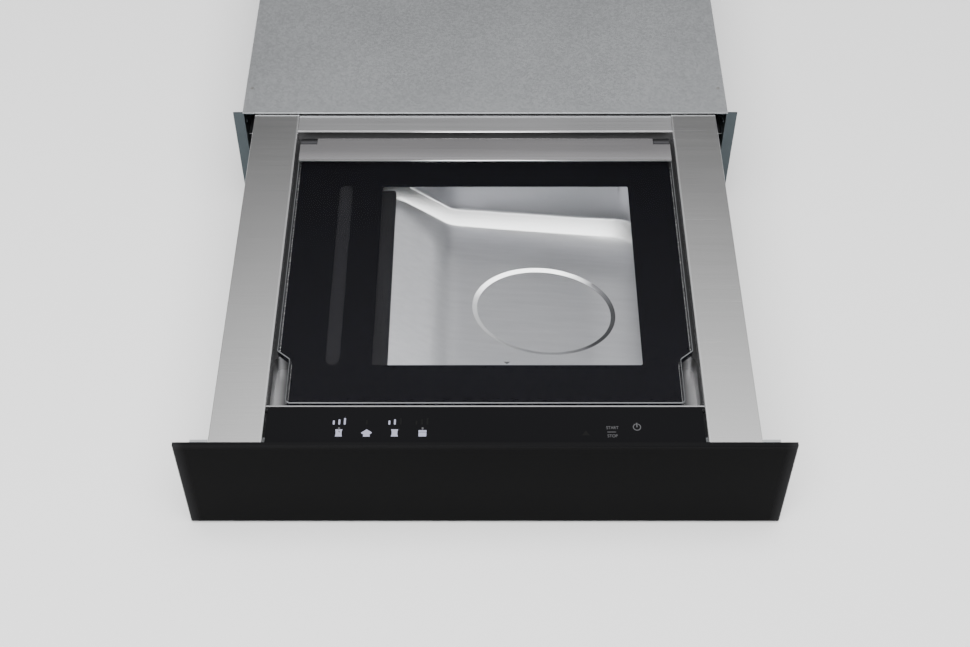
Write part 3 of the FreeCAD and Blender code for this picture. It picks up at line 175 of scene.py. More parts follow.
def newMaterial(name):
    material = bpy.data.materials.new(name)
    material.use_nodes = True
    return material, Maker(material.node_tree)


brushed = {
    "beams": {"light": (0.72, 0.72, 0.72), "dark": (0.60, 0.60, 0.60), "grain": (6, 900, 900),
              "rough": 0.14, "bump": 0.10, "fold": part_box("side_beam_right")[0].x, "shine": 2.2 * mm,
              # the colours at the rear and the front of the beams are painted shade and a painted highlight
              "rear": drawerFront + 440 * mm, "run": 430 * mm, "far": (0.34, 0.34, 0.34), "farShare": 0.5,
              "near": (0.94, 0.94, 0.94), "paintedHighlightShare": 0.6},
    "hinge": {"light": (0.60, 0.585, 0.60), "dark": (0.44, 0.43, 0.44), "grain": (5, 1100, 1100),
              # front and deep place the painted highlight along the front edge; end and cut place the painted
              # shadow at the ends
              "rough": 0.14, "bump": 0.04, "front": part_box("hinge_profile")[0].y, "deep": 32 * mm,
              "end": 189.5 * mm, "cut": 26 * mm},
    "cover": {"light": (0.70, 0.70, 0.71), "dark": (0.58, 0.58, 0.59), "grain": (5, 1100, 1100),
              "rough": 0.20, "bump": 0.04},
    "flange": {"light": (0.085, 0.100, 0.108), "dark": (0.065, 0.080, 0.088), "grain": (900, 900, 5),
               "rough": 0.35, "bump": 0.08},
    "plate": {"light": (0.74, 0.74, 0.75), "dark": (0.66, 0.66, 0.67), "grain": (12, 800, 800),
              "rough": 0.30, "bump": 0.06},
}
# what all brushed steel has in common, with the colours of a painted highlight on a beam's fold and on a
# strip's front edge, and of painted shadow at a strip's ends
brushing = {
    "fineShare": 0.5, "coarseShare": 0.3, "patchShare": 0.2, "coarser": 6, "coarseFrom": (3, 7, 1),
    "patches": 9, "fold": (0.96, 0.96, 0.97), "foldPower": 0.5, "front": (0.86, 0.85, 0.87),
    "frontPower": 3.0, "end": (0.03, 0.03, 0.03), "fineRough": 0.14, "patchRough": 0.06, "deep": 0.2 * mm,
}


def brushedSteel(name, grain):
    # fine parallel scratches, with slow patches of lighter and darker metal
    material, make = newMaterial(name)
    x, y, _ = make.axes()
    fine = make.noise(grain["grain"], "fine")
    coarse = make.noise(tuple(value / brushing["coarser"] for value in grain["grain"]), "cloud",
                        brushing["coarseFrom"])
    patches = make.noise(brushing["patches"])
    tone = (fine * brushing["fineShare"] + coarse * brushing["coarseShare"]
            + patches * brushing["patchShare"]).clamp()
    colour = make.blend(tone, rgb(grain["dark"]), rgb(grain["light"]))
    if "run" in grain:
        # painted shade where the beams leave the housing, under the cabinet's shadow, and a painted highlight
        # toward the glass
        along = ((grain["rear"] - y) / grain["run"]).clamp() * 2
        colour = make.blend((1 - along).clamp() * grain["farShare"], colour, rgb(grain["far"]))
        colour = make.blend((along - 1).clamp() * grain["paintedHighlightShare"], colour, rgb(grain["near"]))
    if "fold" in grain:
        # a painted highlight along the inner fold of a beam
        edge = ((grain["fold"] + grain["shine"] - abs(x)) / grain["shine"]).clamp()
        colour = make.blend(edge ** brushing["foldPower"], colour, rgb(brushing["fold"]))
    if "front" in grain:
        # a painted highlight on the strip toward its front edge, and painted shadow at its two ends
        near = (1 - (y - grain["front"]) / grain["deep"]).clamp()
        colour = make.blend(near ** brushing["frontPower"], colour, rgb(brushing["front"]))
        end = abs(x).over(grain["end"]) * (y - grain["front"]).over(grain["cut"])
        colour = make.blend(end, colour, rgb(brushing["end"]))
    rough = fine * brushing["fineRough"] + patches * brushing["patchRough"] + grain["rough"]
    make.surface({"Base Color": colour, "Metallic": 1.0, "Roughness": rough,
                  "Normal": make.bump(fine, grain["bump"], brushing["deep"])})
    return material


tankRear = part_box("chamber_tank")[1].y
chamber = {
    "grain": (14, 700, 700), "streaks": (9, 170, 170), "slow": 7,
    "streakShare": 1.6, "slowShare": 0.5, "fineShare": 0.6, "rough": 0.29, "fineRough": 0.10, "metal": 0.85,
    "floor": (0.68, 0.68, 0.705), "floorDark": (0.58, 0.58, 0.605),
    # the wall colour is painted shade on the upright walls
    "wall": (0.28, 0.28, 0.295), "wallUp": 0.10, "wallTurn": 0.4,
}
# a painted highlight on the radius at the back, which widens to the right
highlightBand = {
    "colour": (1.0, 1.0, 1.0), "facing": (0.0, -0.46, 0.89), "rear": tankRear - 26 * mm,
    "near": 8 * mm, "wide": 46 * mm, "from": -60 * mm, "over": 200 * mm, "level": 4, "swell": 2.2,
    "ahead": 3, "up": 0.20, "upGain": 1.9, "upPower": 1.5,
}
# the right side of the floor and the ramp at the left, where the light falls at another angle
slopes = {
    "side": 108 * mm, "sideWide": 48 * mm, "sideGain": 4, "sideFacing": (-0.17, -0.01, 1.0),
    "ramp": -26 * mm, "rampWide": 34 * mm, "rampUp": 0.5, "rampGain": 5, "rampShare": 0.85,
    "rampFacing": (0.24, -0.13, 0.96),
}
# the edge of the ring: its middle, its limits, and its painted highlight on the left and painted shade on the
# right
ring = {
    "middle": 68 * mm, "rear": tankRear - 70 * mm, "up": 0.80, "upGain": 12,
    "shadedFrom": 0.03, "shadedGain": 7, "shaded": (0.10, 0.10, 0.105),
    "brightFrom": 0.16, "brightGain": 8, "brightShare": 0.55, "turned": 0.8, "facing": (0.10, -0.30, 0.95),
}


def chamberSteel(name):
    # satin steel with painted shade on the drawn walls and on the ring's right edge, and painted highlights
    # on the radius at the back and on the ring's left edge
    material, make = newMaterial(name)
    x, y, _ = make.axes()
    normal = make.node("ShaderNodeNewGeometry").outputs["Normal"]
    across, ahead, up = make.axes(normal)
    fine = make.noise(chamber["grain"], "fine")
    slow = make.noise(chamber["slow"])
    streaks = make.noise(chamber["streaks"], "streak")
    tone = ((streaks - 0.5) * chamber["streakShare"] + (slow - 0.5) * chamber["slowShare"]
            + (fine - 0.5) * chamber["fineShare"] + 0.5).clamp()
    floor = make.blend(tone, rgb(chamber["floorDark"]), rgb(chamber["floor"]))
    # painted shade: the upright walls darker than the floor
    colour = make.blend(up.rise(chamber["wallUp"], chamber["wallTurn"]), rgb(chamber["wall"]), floor)
    # painted highlight: white on the back radius and on the floor just in front of it, wider to the right
    reach = x.rise(highlightBand["from"], highlightBand["over"]) * highlightBand["wide"] + highlightBand["near"]
    swell = (1 - (highlightBand["rear"] - y) / reach).clamp() * (up * highlightBand["level"]).clamp()
    upright = ((up - highlightBand["up"]) * highlightBand["upGain"]).clamp() ** highlightBand["upPower"]
    radius = (-ahead * highlightBand["ahead"]).clamp() * upright
    share = (swell ** highlightBand["swell"] + radius).clamp()
    colour = make.blend(share, colour, rgb(highlightBand["colour"]))
    # painted shade on the ring's right edge and a painted highlight on its left edge
    level = ((up - ring["up"]) * ring["upGain"]).clamp()
    right = x.over(ring["middle"])
    inside = (slopes["side"] + slopes["sideWide"] - x).over(0) * (ring["rear"] - y).over(0)
    shaded = ((ring["shadedFrom"] - across) * ring["shadedGain"]).clamp() * right * inside * level
    bright = (((across - ring["brightFrom"]) * ring["brightGain"]).clamp() * (1 - right)
              * (x + 0.5 * ring["middle"]).over(0) * level * ring["brightShare"])
    highlighted = make.blend(bright, colour, rgb(highlightBand["colour"]))
    colour = make.blend(shaded, highlighted, rgb(ring["shaded"]))
    side = x.rise(slopes["side"], slopes["sideWide"]) * (up * slopes["sideGain"]).clamp()
    ramp = (((slopes["ramp"] - x) / slopes["rampWide"]).clamp()
            * ((up - slopes["rampUp"]) * slopes["rampGain"]).clamp())
    normal = make.turn(side, normal, slopes["sideFacing"])
    normal = make.turn(ramp * slopes["rampShare"], normal, slopes["rampFacing"])
    normal = make.turn(bright * ring["turned"], normal, ring["facing"])
    normal = make.turn(share, normal, highlightBand["facing"])
    make.surface({"Base Color": colour, "Metallic": chamber["metal"],
                  "Roughness": fine * chamber["fineRough"] + chamber["rough"], "Normal": normal})
    return material


# black is the colour of the painted shadow in the gaps and of the painted shade in the wells; coated and
# coatRough make the painted shadow less metallic and rougher
deckSteel = {
    "light": (0.66, 0.66, 0.67), "dark": (0.56, 0.56, 0.57), "black": (0.006, 0.006, 0.007),
    "grain": (8, 800, 800), "rough": 0.23, "fineRough": 0.08, "coatRough": 0.3, "wellRough": 0.12,
    "coated": 0.9, "gap": 207.5 * mm, "top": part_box("deck")[1].z - 10.5 * mm, "gapUp": 3 * mm,
    "well": 195 * mm, "wellWide": 17 * mm, "wellPower": 1.6, "rear": drawerFront + 431 * mm,
}


def deckWithPaintedShade(name):
    # bright steel, with painted shadow in black in the gaps beside and behind the lid, and painted shade in
    # the finger wells
    material, make = newMaterial(name)
    x, y, z = make.axes()
    fine = make.noise(deckSteel["grain"], "fine")
    steel = make.blend(fine, rgb(deckSteel["dark"]), rgb(deckSteel["light"]))
    sunk = (deckSteel["top"] - z).over(0)
    share = abs(x).rise(deckSteel["well"], deckSteel["wellWide"])
    # painted shade in the finger wells, black at their inner side
    well = make.blend(share ** deckSteel["wellPower"], rgb(deckSteel["black"]), steel)
    level = (deckSteel["top"] + deckSteel["gapUp"] - z).over(0)
    # painted shadow in the gaps beside and behind the lid
    gap = (abs(x).over(deckSteel["gap"]) + y.over(deckSteel["rear"])).clamp() * level * (1 - sunk)
    colour = make.blend(gap, make.blend(sunk, steel, well), rgb(deckSteel["black"]))
    rough = (fine * deckSteel["fineRough"] + gap * deckSteel["coatRough"] + sunk * deckSteel["wellRough"]
             + deckSteel["rough"])
    make.surface({"Base Color": colour, "Metallic": 1 - gap * deckSteel["coated"], "Roughness": rough})
    return material


sheetZinc = {
    "light": (0.56, 0.575, 0.59), "dark": (0.47, 0.485, 0.50), "cell": 420, "cloud": 9, "cellShare": 0.35,
    "cloudShare": 0.5, "least": 0.08, "rough": 0.37, "cellRough": 0.06, "cloudRough": 0.05,
}


def zincSheet(name):
    # galvanised sheet: patches of crystals with slightly different brightness
    material, make = newMaterial(name)
    cells = make.node("ShaderNodeTexVoronoi", {"feature": "F1"},
                      {"Vector": make.spot(), "Scale": sheetZinc["cell"]})
    crystal = make.node("ShaderNodeSeparateColor", None, {0: cells.outputs["Color"]})
    shade = Value(make, crystal.outputs[0])
    cloud = make.noise(sheetZinc["cloud"])
    tone = (shade * sheetZinc["cellShare"] + cloud * sheetZinc["cloudShare"] + sheetZinc["least"]).clamp()
    colour = make.blend(tone, rgb(sheetZinc["dark"]), rgb(sheetZinc["light"]))
    rough = shade * sheetZinc["cellRough"] + cloud * sheetZinc["cloudRough"] + sheetZinc["rough"]
    make.surface({"Base Color": colour, "Metallic": 1.0, "Roughness": rough})
    return material


glasses = {
    "front": {"deep": (0.0014, 0.0014, 0.0015), "sheen": (0.0022, 0.0022, 0.0024), "rough": 0.18,
              "gloss": 0.02, "corner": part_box("front_glass")[1], "highlightBand": 12 * mm,
              # corner, band and edge give the painted highlight toward the front glass's sides and top
              "edge": (0.017, 0.017, 0.018)},
    "control": {"deep": (0.0048, 0.0048, 0.0054), "sheen": (0.0060, 0.0060, 0.0068), "rough": 0.06,
                "gloss": 0.03},
}
# what both black glasses have in common
glassSkin = {"cloud": 6, "cloudRough": 0.05, "smear": (3, 3, 60), "smearRough": 0.03, "coat": 0.0,
             "coatRough": 0.03, "topShare": 0.6, "sidePower": 1.5, "topPower": 2.0}


def blackGlass(name, settings):
    # opaque black glass with faint dust in the gloss; the front glass has a painted highlight toward its
    # ground edges
    material, make = newMaterial(name)
    x, _, z = make.axes()
    cloud = make.noise(glassSkin["cloud"])
    smear = make.noise(glassSkin["smear"], "streak")
    rough = cloud * glassSkin["cloudRough"] + smear * glassSkin["smearRough"] + settings["rough"]
    colour = make.blend(cloud, rgb(settings["deep"]), rgb(settings["sheen"]))
    if "edge" in settings:
        # painted highlight: lighter toward the sides and the top of the front glass
        corner, wide = settings["corner"], settings["highlightBand"]
        sideways = abs(x).rise(corner.x - wide, wide)
        upward = z.rise(corner.z - wide * glassSkin["topShare"], wide)
        edge = (sideways ** glassSkin["sidePower"] + upward ** glassSkin["topPower"]).clamp()
        colour = make.blend(edge, colour, rgb(settings["edge"]))
    make.surface({"Base Color": colour, "Roughness": rough, "Specular IOR Level": settings["gloss"],
                  "Coat Weight": glassSkin["coat"], "Coat Roughness": glassSkin["coatRough"]})
    return material


printed = {"cloud": 18, "lighter": 1.5, "rough": 0.1}


def enamel(name, colour, rough, gloss):
    # a smooth printed or moulded surface under glass
    material, make = newMaterial(name)
    cloud = make.noise(printed["cloud"], "print")
    light = tuple(value * printed["lighter"] for value in colour)
    make.surface({"Base Color": make.blend(cloud, rgb(colour), rgb(light)),
                  "Roughness": cloud * printed["rough"] + rough, "Specular IOR Level": gloss})
    return material


moulded = {"cloud": 20, "lighter": 1.25, "lift": 0.004, "rough": 0.12, "bump": 0.12, "deep": 0.2 * mm}


def plastic(name, colour, rough, grain=900):
    # moulded plastic or rubber with a fine skin
    material, make = newMaterial(name)
    skin = make.noise(grain, "skin")
    cloud = make.noise(moulded["cloud"])
    light = tuple(min(1, value * moulded["lighter"] + moulded["lift"]) for value in colour)
    make.surface({"Base Color": make.blend(cloud, rgb(colour), rgb(light)),
                  "Roughness": skin * moulded["rough"] + rough,
                  "Normal": make.bump(skin, moulded["bump"], moulded["deep"])})
    return material


machined = {"cloud": 25, "fineShare": 0.5, "cloudShare": 0.5, "darker": 0.8, "rough": 0.15, "deep": 0.3 * mm}


def plainMetal(name, colour, rough, grain=300, bump=0.06):
    # turned, cast or bright-zinc metal
    material, make = newMaterial(name)
    fine = make.noise(grain, "streak")
    cloud = make.noise(machined["cloud"])
    dark = tuple(value * machined["darker"] for value in colour)
    tone = (fine * machined["fineShare"] + cloud * machined["cloudShare"]).clamp()
    make.surface({"Base Color": make.blend(tone, rgb(dark), rgb(colour)), "Metallic": 1.0,
                  "Roughness": fine * machined["rough"] + rough,
                  "Normal": make.bump(fine, bump, machined["deep"])})
    return material


lidGlass = {"tint": (0.97, 0.98, 0.985), "smeared": (0.985, 0.99, 0.99), "smear": 8, "refraction": 1.36,
            "coated": (0.45, 0.45, 0.50)}


def clearGlass(name):
    # clear coated glass, a little less clear where it was wiped
    material, make = newMaterial(name)
    smear = make.noise(lidGlass["smear"], "skin")
    make.surface({"Base Color": make.blend(smear, rgb(lidGlass["tint"]), rgb(lidGlass["smeared"])),
                  "Roughness": 0.0, "IOR": lidGlass["refraction"], "Transmission Weight": 1.0,
                  "Specular Tint": rgb(lidGlass["coated"])})
    return material


copper = {"scale": 260.0, "wander": 0.6, "detail": 1.0, "dark": (0.28, 0.11, 0.04),
          "light": (0.62, 0.28, 0.10), "metal": 0.7, "rough": 0.35, "stripeRough": 0.1, "bump": 0.4,
          "deep": 0.4 * mm}


def windings(name):
    # copper wire laid side by side
    material, make = newMaterial(name)
    wave = make.node("ShaderNodeTexWave", {"wave_type": "BANDS", "bands_direction": "Z"},
                     {"Vector": make.spot(), "Scale": copper["scale"], "Distortion": copper["wander"],
                      "Detail": copper["detail"]})
    stripe = Value(make, wave.outputs["Fac"])
    make.surface({"Base Color": make.blend(stripe, rgb(copper["dark"]), rgb(copper["light"])),
                  "Metallic": copper["metal"], "Roughness": stripe * copper["stripeRough"] + copper["rough"],
                  "Normal": make.bump(stripe, copper["bump"], copper["deep"])})
    return material


board = {"scale": 60.0, "line": 0.03, "mask": (0.015, 0.10, 0.045), "trace": (0.05, 0.22, 0.10),
         "rough": 0.35, "traceRough": 0.1}


def circuitBoard(name):
    # green solder mask with lighter traces
    material, make = newMaterial(name)
    traces = make.node("ShaderNodeTexBrick", None,
                       {"Vector": make.spot(), "Scale": board["scale"], "Mortar Size": board["line"]})
    share = Value(make, traces.outputs["Fac"])
    make.surface({"Base Color": make.blend(share, rgb(board["mask"]), rgb(board["trace"])),
                  "Roughness": share * board["traceRough"] + board["rough"]})
    return material


glow = {"cloud": 500, "darker": 0.86, "skin": (0.004, 0.004, 0.004), "rough": 0.4, "gloss": 0.1}


def glowing(name, colour, strength):
    # symbols lit from behind the glass, not quite evenly
    material, make = newMaterial(name)
    cloud = make.noise(glow["cloud"], "glow")
    dark = tuple(value * glow["darker"] for value in colour)
    make.surface({"Base Color": rgb(glow["skin"]), "Roughness": glow["rough"],
                  "Specular IOR Level": glow["gloss"], "Emission Strength": strength,
                  "Emission Color": make.blend(cloud, rgb(colour), rgb(dark))})
    return material


print("materials")
finishes = {
    "beams": brushedSteel("BeamSteel", brushed["beams"]),
    "hinge": brushedSteel("HingeSteel", brushed["hinge"]),
    "cover": brushedSteel("CoverSteel", brushed["cover"]),
    "chamber": chamberSteel("ChamberSteel"),
    "deck": deckWithPaintedShade("DeckSteel"),
    "flange": brushedSteel("FlangeSteel", brushed["flange"]),
    "zinc": zincSheet("ZincSheet"),
    "front": blackGlass("FrontGlass", glasses["front"]),
    "control": blackGlass("ControlGlass", glasses["control"]),
    "border": enamel("BorderEnamel", (0.0006, 0.0006, 0.0020), 0.40, 0.03),
    "glass": clearGlass("LidGlass"),
    "plastic": plastic("BlackPlastic", (0.022, 0.022, 0.023), 0.39),
    "carrier": enamel("CarrierPlastic", (0.0042, 0.0042, 0.0050), 0.55, 0.04),
    "silicone": enamel("GreySilicone", (0.0042, 0.0041, 0.0052), 0.60, 0.03),
    "ground": plastic("GroundGlassEdge", (0.10, 0.105, 0.11), 0.39, 2000),
    "bead": plainMetal("PolishedBead", (0.92, 0.92, 0.93), 0.23, (3, 60, 60), 0.0),
    "screws": plainMetal("ScrewZinc", (0.66, 0.67, 0.68), 0.27),
    "plate": brushedSteel("BlankPlate", brushed["plate"]),
    "rubber": plastic("BlackRubber", (0.014, 0.014, 0.014), 0.59),
    "rails": plainMetal("RailSteel", (0.62, 0.62, 0.60), 0.25, (500, 12, 500)),
    "aluminium": plainMetal("MachinedAluminium", (0.78, 0.78, 0.79), 0.29, (400, 400, 30)),
    "cast": plainMetal("CastHousing", (0.30, 0.31, 0.33), 0.48, 160, 0.3),
    "dark": plainMetal("OiledSteel", (0.20, 0.20, 0.21), 0.31),
    # painted shade: the hinge knuckles made near black for the shade in the gap behind the lid
    "knuckleShade": plainMetal("KnuckleShadeSteel", (0.030, 0.030, 0.032), 0.43),
    "copper": windings("CopperWinding"),
    "board": circuitBoard("CircuitBoard"),
    "lit": glowing("LitSymbol", (0.74, 0.75, 0.96), 1.0),
    "dim": glowing("DimSymbol", (0.36, 0.36, 0.38), 0.5),
    "faint": glowing("FaintSymbol", (0.004, 0.004, 0.005), 0.3),
}
wearing = {
    "beams": ["side_beam_left", "side_beam_right"],
    "hinge": ["hinge_profile"],
    "cover": ["rear_cover"],
    "chamber": ["chamber_tank"],
    "deck": ["deck"],
    "flange": ["housing_side_left", "housing_side_right"],
    "zinc": ["housing_base", "housing_top", "housing_rear", "rail_bracket_left", "rail_bracket_right",
             "chassis_tray", "chassis_rear", "front_frame", "pump_bracket"],
    "front": ["front_glass"],
    "control": ["control_glass"],
    "border": ["lid_border"],
    "glass": ["lid_glass"],
    "plastic": ["mains_inlet", "latch_body", "latch_plunger", "lead_gland", "control_tray", "pump_vanes",
                "vent_valve", "fan_frame", "fan_impeller"],
    "carrier": ["sealing_carrier"],
    "silicone": ["counter_bar"],
    "rubber": ["lid_gasket", "pump_feet", "suction_hose"],
    "rails": ["outer_rail_left", "outer_rail_right", "mid_rail_left", "mid_rail_right", "inner_rail_left",
              "inner_rail_right", "housing_screws", "front_studs", "hinge_pins", "lift_rods", "heating_strip",
              "motor_bearings", "pump_shaft"],
    "aluminium": ["sealing_bar", "lift_cylinders"],
    "cast": ["motor_casing", "pump_body", "pump_end_cover"],
    "dark": ["motor_rotor", "pump_rotor"],
    # painted shade on the hinge knuckles
    "knuckleShade": ["hinge_knuckles"],
    "copper": ["motor_stator", "seal_transformer"],
    "board": ["control_board", "power_board"],
}
for finish, names in wearing.items():
    for name in names:
        slots = nodes[name].data.materials
        slots.clear()
        slots.append(finishes[finish])
bare = [name for name in nodes if not any(name in names for names in wearing.values())]
print("nodes with no finish:", bare)


def finished(name, mesh, finish, body):
    # a piece that this script adds, with its finish and the body it rides on
    piece = bpy.data.objects.new(name, mesh)
    bpy.context.scene.collection.objects.link(piece)
    mesh.materials.clear()
    mesh.materials.append(finishes[finish])
    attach(piece, body)
    return piece


def flatShape(shapes, low, high):
    # closed slabs from flat outlines, each a list of points
    grid = bmesh.new()
    for outline in shapes:
        bottom = [grid.verts.new((x, y, low)) for x, y in outline]
        top = [grid.verts.new((x, y, high)) for x, y in outline]
        count = len(outline)
        grid.faces.new(list(reversed(bottom)))
        grid.faces.new(top)
        for i in range(count):
            j = (i + 1) % count
            grid.faces.new((bottom[i], bottom[j], top[j], top[i]))
    bmesh.ops.recalc_face_normals(grid, faces=grid.faces)
    mesh = bpy.data.meshes.new("slab")
    grid.to_mesh(mesh)
    grid.free()
    return mesh


def upper(place):
    # from millimetres behind the front face to the frame's own place
    return (place[0] * mm, drawerFront + place[1] * mm)


def roundEnded(x, low, high, wide, steps=8):
    # an upright bar with round ends
    half = wide / 2
    outline = []
    for end, start in ((high - half, 0), (low + half, math.pi)):
        for i in range(steps + 1):
            angle = math.pi * i / steps + start
            outline.append((x + half * math.cos(angle), end + half * math.sin(angle)))
    return outline


def ringParts(centre, radius, thick, gap, stretch, steps=40):
    # a ring that is open at its top, as short slabs
    x, y = centre
    start, sweep = math.pi / 2 + gap, 2 * math.pi - 2 * gap
    parts = []
    for i in range(steps):
        first, last = start + sweep * i / steps, start + sweep * (i + 1) / steps
        corners = [(radius + thick / 2, first), (radius + thick / 2, last),
                   (radius - thick / 2, last), (radius - thick / 2, first)]
        parts.append([(x + r * math.cos(a), y + r * math.sin(a) * stretch) for r, a in corners])
    return parts


# outlines and places in millimetres, seen from above, measured from the front face
symbols = {
    "lift": 0.06, "sink": 0.05, "barWide": 1.8, "barLow": 27.2, "barPitch": 5.3,
    "lit": [(-146.0, (5.0, 6.4, 8.0)), (-92.4, (5.0, 6.4))],
    "faint": [(-114.2, (5.6,)), (-81.6, (8.0,)), (-66.3, (5.0, 6.4, 8.0))],
    "bag": [(-4.1, -5.0), (4.0, -5.0), (3.5, -1.5), (3.4, 2.0), (4.2, 5.4), (-4.2, 5.4), (-3.6, 2.0),
            (-3.5, -1.5)],
    "hat": [(-3.9, -5.2), (4.0, -5.2), (4.0, -3.4), (3.4, -2.2), (6.0, -0.2), (6.2, 1.0), (4.2, 2.6),
            (1.8, 4.0), (0.2, 5.4), (-1.0, 4.6), (-2.6, 3.4), (-4.8, 1.8), (-6.2, 0.8), (-6.1, -0.3),
            (-3.4, -2.2), (-3.9, -3.2)],
    "pouch": [(-4.2, -5.0), (4.2, -5.0), (3.3, -2.0), (3.3, 2.4), (4.2, 5.4), (-4.2, 5.4), (-3.3, 2.4),
              (-3.3, -2.0)],
    "pot": [(-4.3, -5.0), (4.3, -5.0), (4.6, -4.0), (4.6, 1.0), (-4.6, 1.0), (-4.6, -4.0)],
    "potLid": [(-4.8, 1.6), (4.8, 1.6), (4.6, 4.2), (-4.6, 4.2)],
    "knob": [(-0.6, 4.8), (0.6, 4.8), (1.3, 7.2), (0.8, 8.4), (-0.8, 8.4), (-1.3, 7.2)],
    "fold": [(-0.4, 3.1), (0.9, 2.4), (2.2, 0.6), (1.4, 0.9), (-0.2, 2.0)],
    "row": 17.2, "spots": {"bag": -140.6, "hat": -113.9, "pouch": -87.0, "pot": -60.2}, "small": 0.81,
    "power": (146.0, 24.3), "powerRadius": 3.5, "powerThick": 0.9, "powerGap": 0.3, "powerTall": 1.06,
    "stem": [(-0.55, -0.2), (0.55, -0.2), (0.7, 5.0), (-0.7, 5.0)],
    "line": (121.4, 18.4), "dash": [(-4.2, -0.35), (4.2, -0.35), (4.2, 0.35), (-4.2, 0.35)],
    "warning": [(92.6, 14.4), (100.4, 14.4), (96.7, 20.2)],
}


def shifted(outline, place, scale=1.0):
    return [(x * scale + place[0], y * scale + place[1]) for x, y in outline]


def symbolMesh(shapes):
    low, high = controlTop - symbols["sink"] * mm, controlTop + symbols["lift"] * mm
    return flatShape([[upper(point) for point in outline] for outline in shapes], low, high)


def barRow(rows):
    # rows of level bars above the symbols
    shapes = []
    low = symbols["barLow"]
    for x, heights in rows:
        for i, tall in enumerate(heights):
            shapes.append(roundEnded(x + i * symbols["barPitch"], low, low + tall, symbols["barWide"]))
    return shapes


def makeSymbols():
    # lit symbols, dim ones that wait, and faint ones that are off
    small = symbols["small"]
    spots = {name: (x, symbols["row"]) for name, x in symbols["spots"].items()}
    lit = barRow(symbols["lit"])
    for name, spot in spots.items():
        lit.append(shifted(symbols[name], spot, small))
    lit.append(shifted(symbols["potLid"], spots["pot"], small))
    finished("control_symbols_lit", symbolMesh(lit), "lit", "drawer")
    dim = [shifted(symbols["knob"], spots[name], small) for name in ("pot", "bag")]
    dim += ringParts(symbols["power"], symbols["powerRadius"], symbols["powerThick"], symbols["powerGap"],
                     symbols["powerTall"])
    dim.append(shifted(symbols["stem"], symbols["power"]))
    dim.append(shifted(symbols["dash"], symbols["line"]))
    finished("control_symbols_dim", symbolMesh(dim), "dim", "drawer")
    faint = barRow(symbols["faint"]) + [symbols["warning"]]
    finished("control_symbols_faint", symbolMesh(faint), "faint", "drawer")
    fold = [upper(point) for point in shifted(symbols["fold"], spots["bag"], small)]
    folded = flatShape([fold], controlTop, controlTop + 2 * symbols["lift"] * mm)
    finished("control_symbol_fold", folded, "control", "drawer")


words = {"places": {"START": (122.3, 23.4), "STOP": (122.0, 13.6)}, "tall": 4.3, "sizing": 1.15,
         "spacing": 0.95, "narrow": 0.86}


def makeWords():
    # two generic words in thin raised letters
    for word, place in words["places"].items():
        curve = bpy.data.curves.new(word, "FONT")
        curve.body = word
        curve.size = words["tall"] * words["sizing"] * mm
        curve.align_x = "CENTER"
        curve.align_y = "CENTER"
        curve.extrude = symbols["lift"] * mm
        curve.space_character = words["spacing"]
        holder = bpy.data.objects.new(word, curve)
        bpy.context.scene.collection.objects.link(holder)
        bpy.context.view_layer.update()
        mesh = bpy.data.meshes.new_from_object(holder.evaluated_get(bpy.context.evaluated_depsgraph_get()))
        bpy.data.objects.remove(holder)
        x, y = upper(place)
        for vertex in mesh.vertices:
            vertex.co = (vertex.co.x * words["narrow"] + x, vertex.co.y + y, vertex.co.z + controlTop)
        finished("control_word_" + word.lower(), mesh, "dim", "drawer")


films = {"lift": 0.03 * mm, "pieces": {"lid_border": ("border", "border_black"),
                                       "counter_bar": ("silicone", "silicone")}}


def makeFilms():
    # the printed border and the strip behind the slot are fused to the glass: they reach a hair into it
    for name, (finish, slot) in films["pieces"].items():
        mesh = nodes[name].data.copy()
        for vertex in mesh.vertices:
            vertex.co.z += films["lift"]
        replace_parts(finished(name + "_bonded", mesh, finish, "lid"), name)


lidEdge = {"steep": 0.3, "flat": 0.95, "out": 0.04 * mm, "markGap": 0.02 * mm, "markDeep": 0.2 * mm,
           "mark": ((18.3, 109.4), (21.7, 106.0), (25.1, 109.4))}


def makeLidEdge():
    # the ground bevel round the lid's glass, and the small mark on its front border
    grid = bmesh.new()
    grid.from_mesh(nodes["lid_glass"].data)
    level = [face for face in grid.faces if not lidEdge["steep"] < face.normal.z < lidEdge["flat"]]
    bmesh.ops.delete(grid, geom=level, context="FACES")
    grid.normal_update()
    moved = [(vertex, vertex.normal.copy()) for vertex in grid.verts]
    for vertex, normal in moved:
        vertex.co += normal * lidEdge["out"]
    mesh = bpy.data.meshes.new("lid_ground_edge")
    grid.to_mesh(mesh)
    grid.free()
    finished("lid_ground_edge", mesh, "ground", "lid")
    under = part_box("lid_glass")[0].z
    outline = [upper(point) for point in lidEdge["mark"]]
    mark = flatShape([outline], under - lidEdge["markDeep"], under - lidEdge["markGap"])
    finished("lid_mark", mark, "dark", "lid")


def sweptStrip(section, low, high):
    # a closed section in Y and Z carried along X
    grid = bmesh.new()
    rings = []
    for x in (low, high):
        rings.append([grid.verts.new((x, y, z)) for y, z in section])
    count = len(section)
    for i in range(count):
        j = (i + 1) % count
        grid.faces.new((rings[0][i], rings[0][j], rings[1][j], rings[1][i]))
    grid.faces.new(rings[0])
    grid.faces.new(list(reversed(rings[1])))
    bmesh.ops.recalc_face_normals(grid, faces=grid.faces)
    for face in grid.faces:
        face.smooth = True
    mesh = bpy.data.meshes.new("strip")
    grid.to_mesh(mesh)
    grid.free()
    return mesh


beads = {"radius": 1.0 * mm, "steps": 10, "inset": 0.2 * mm,
         "strips": {"hinge_profile": "lid", "rear_cover": "drawer"}}


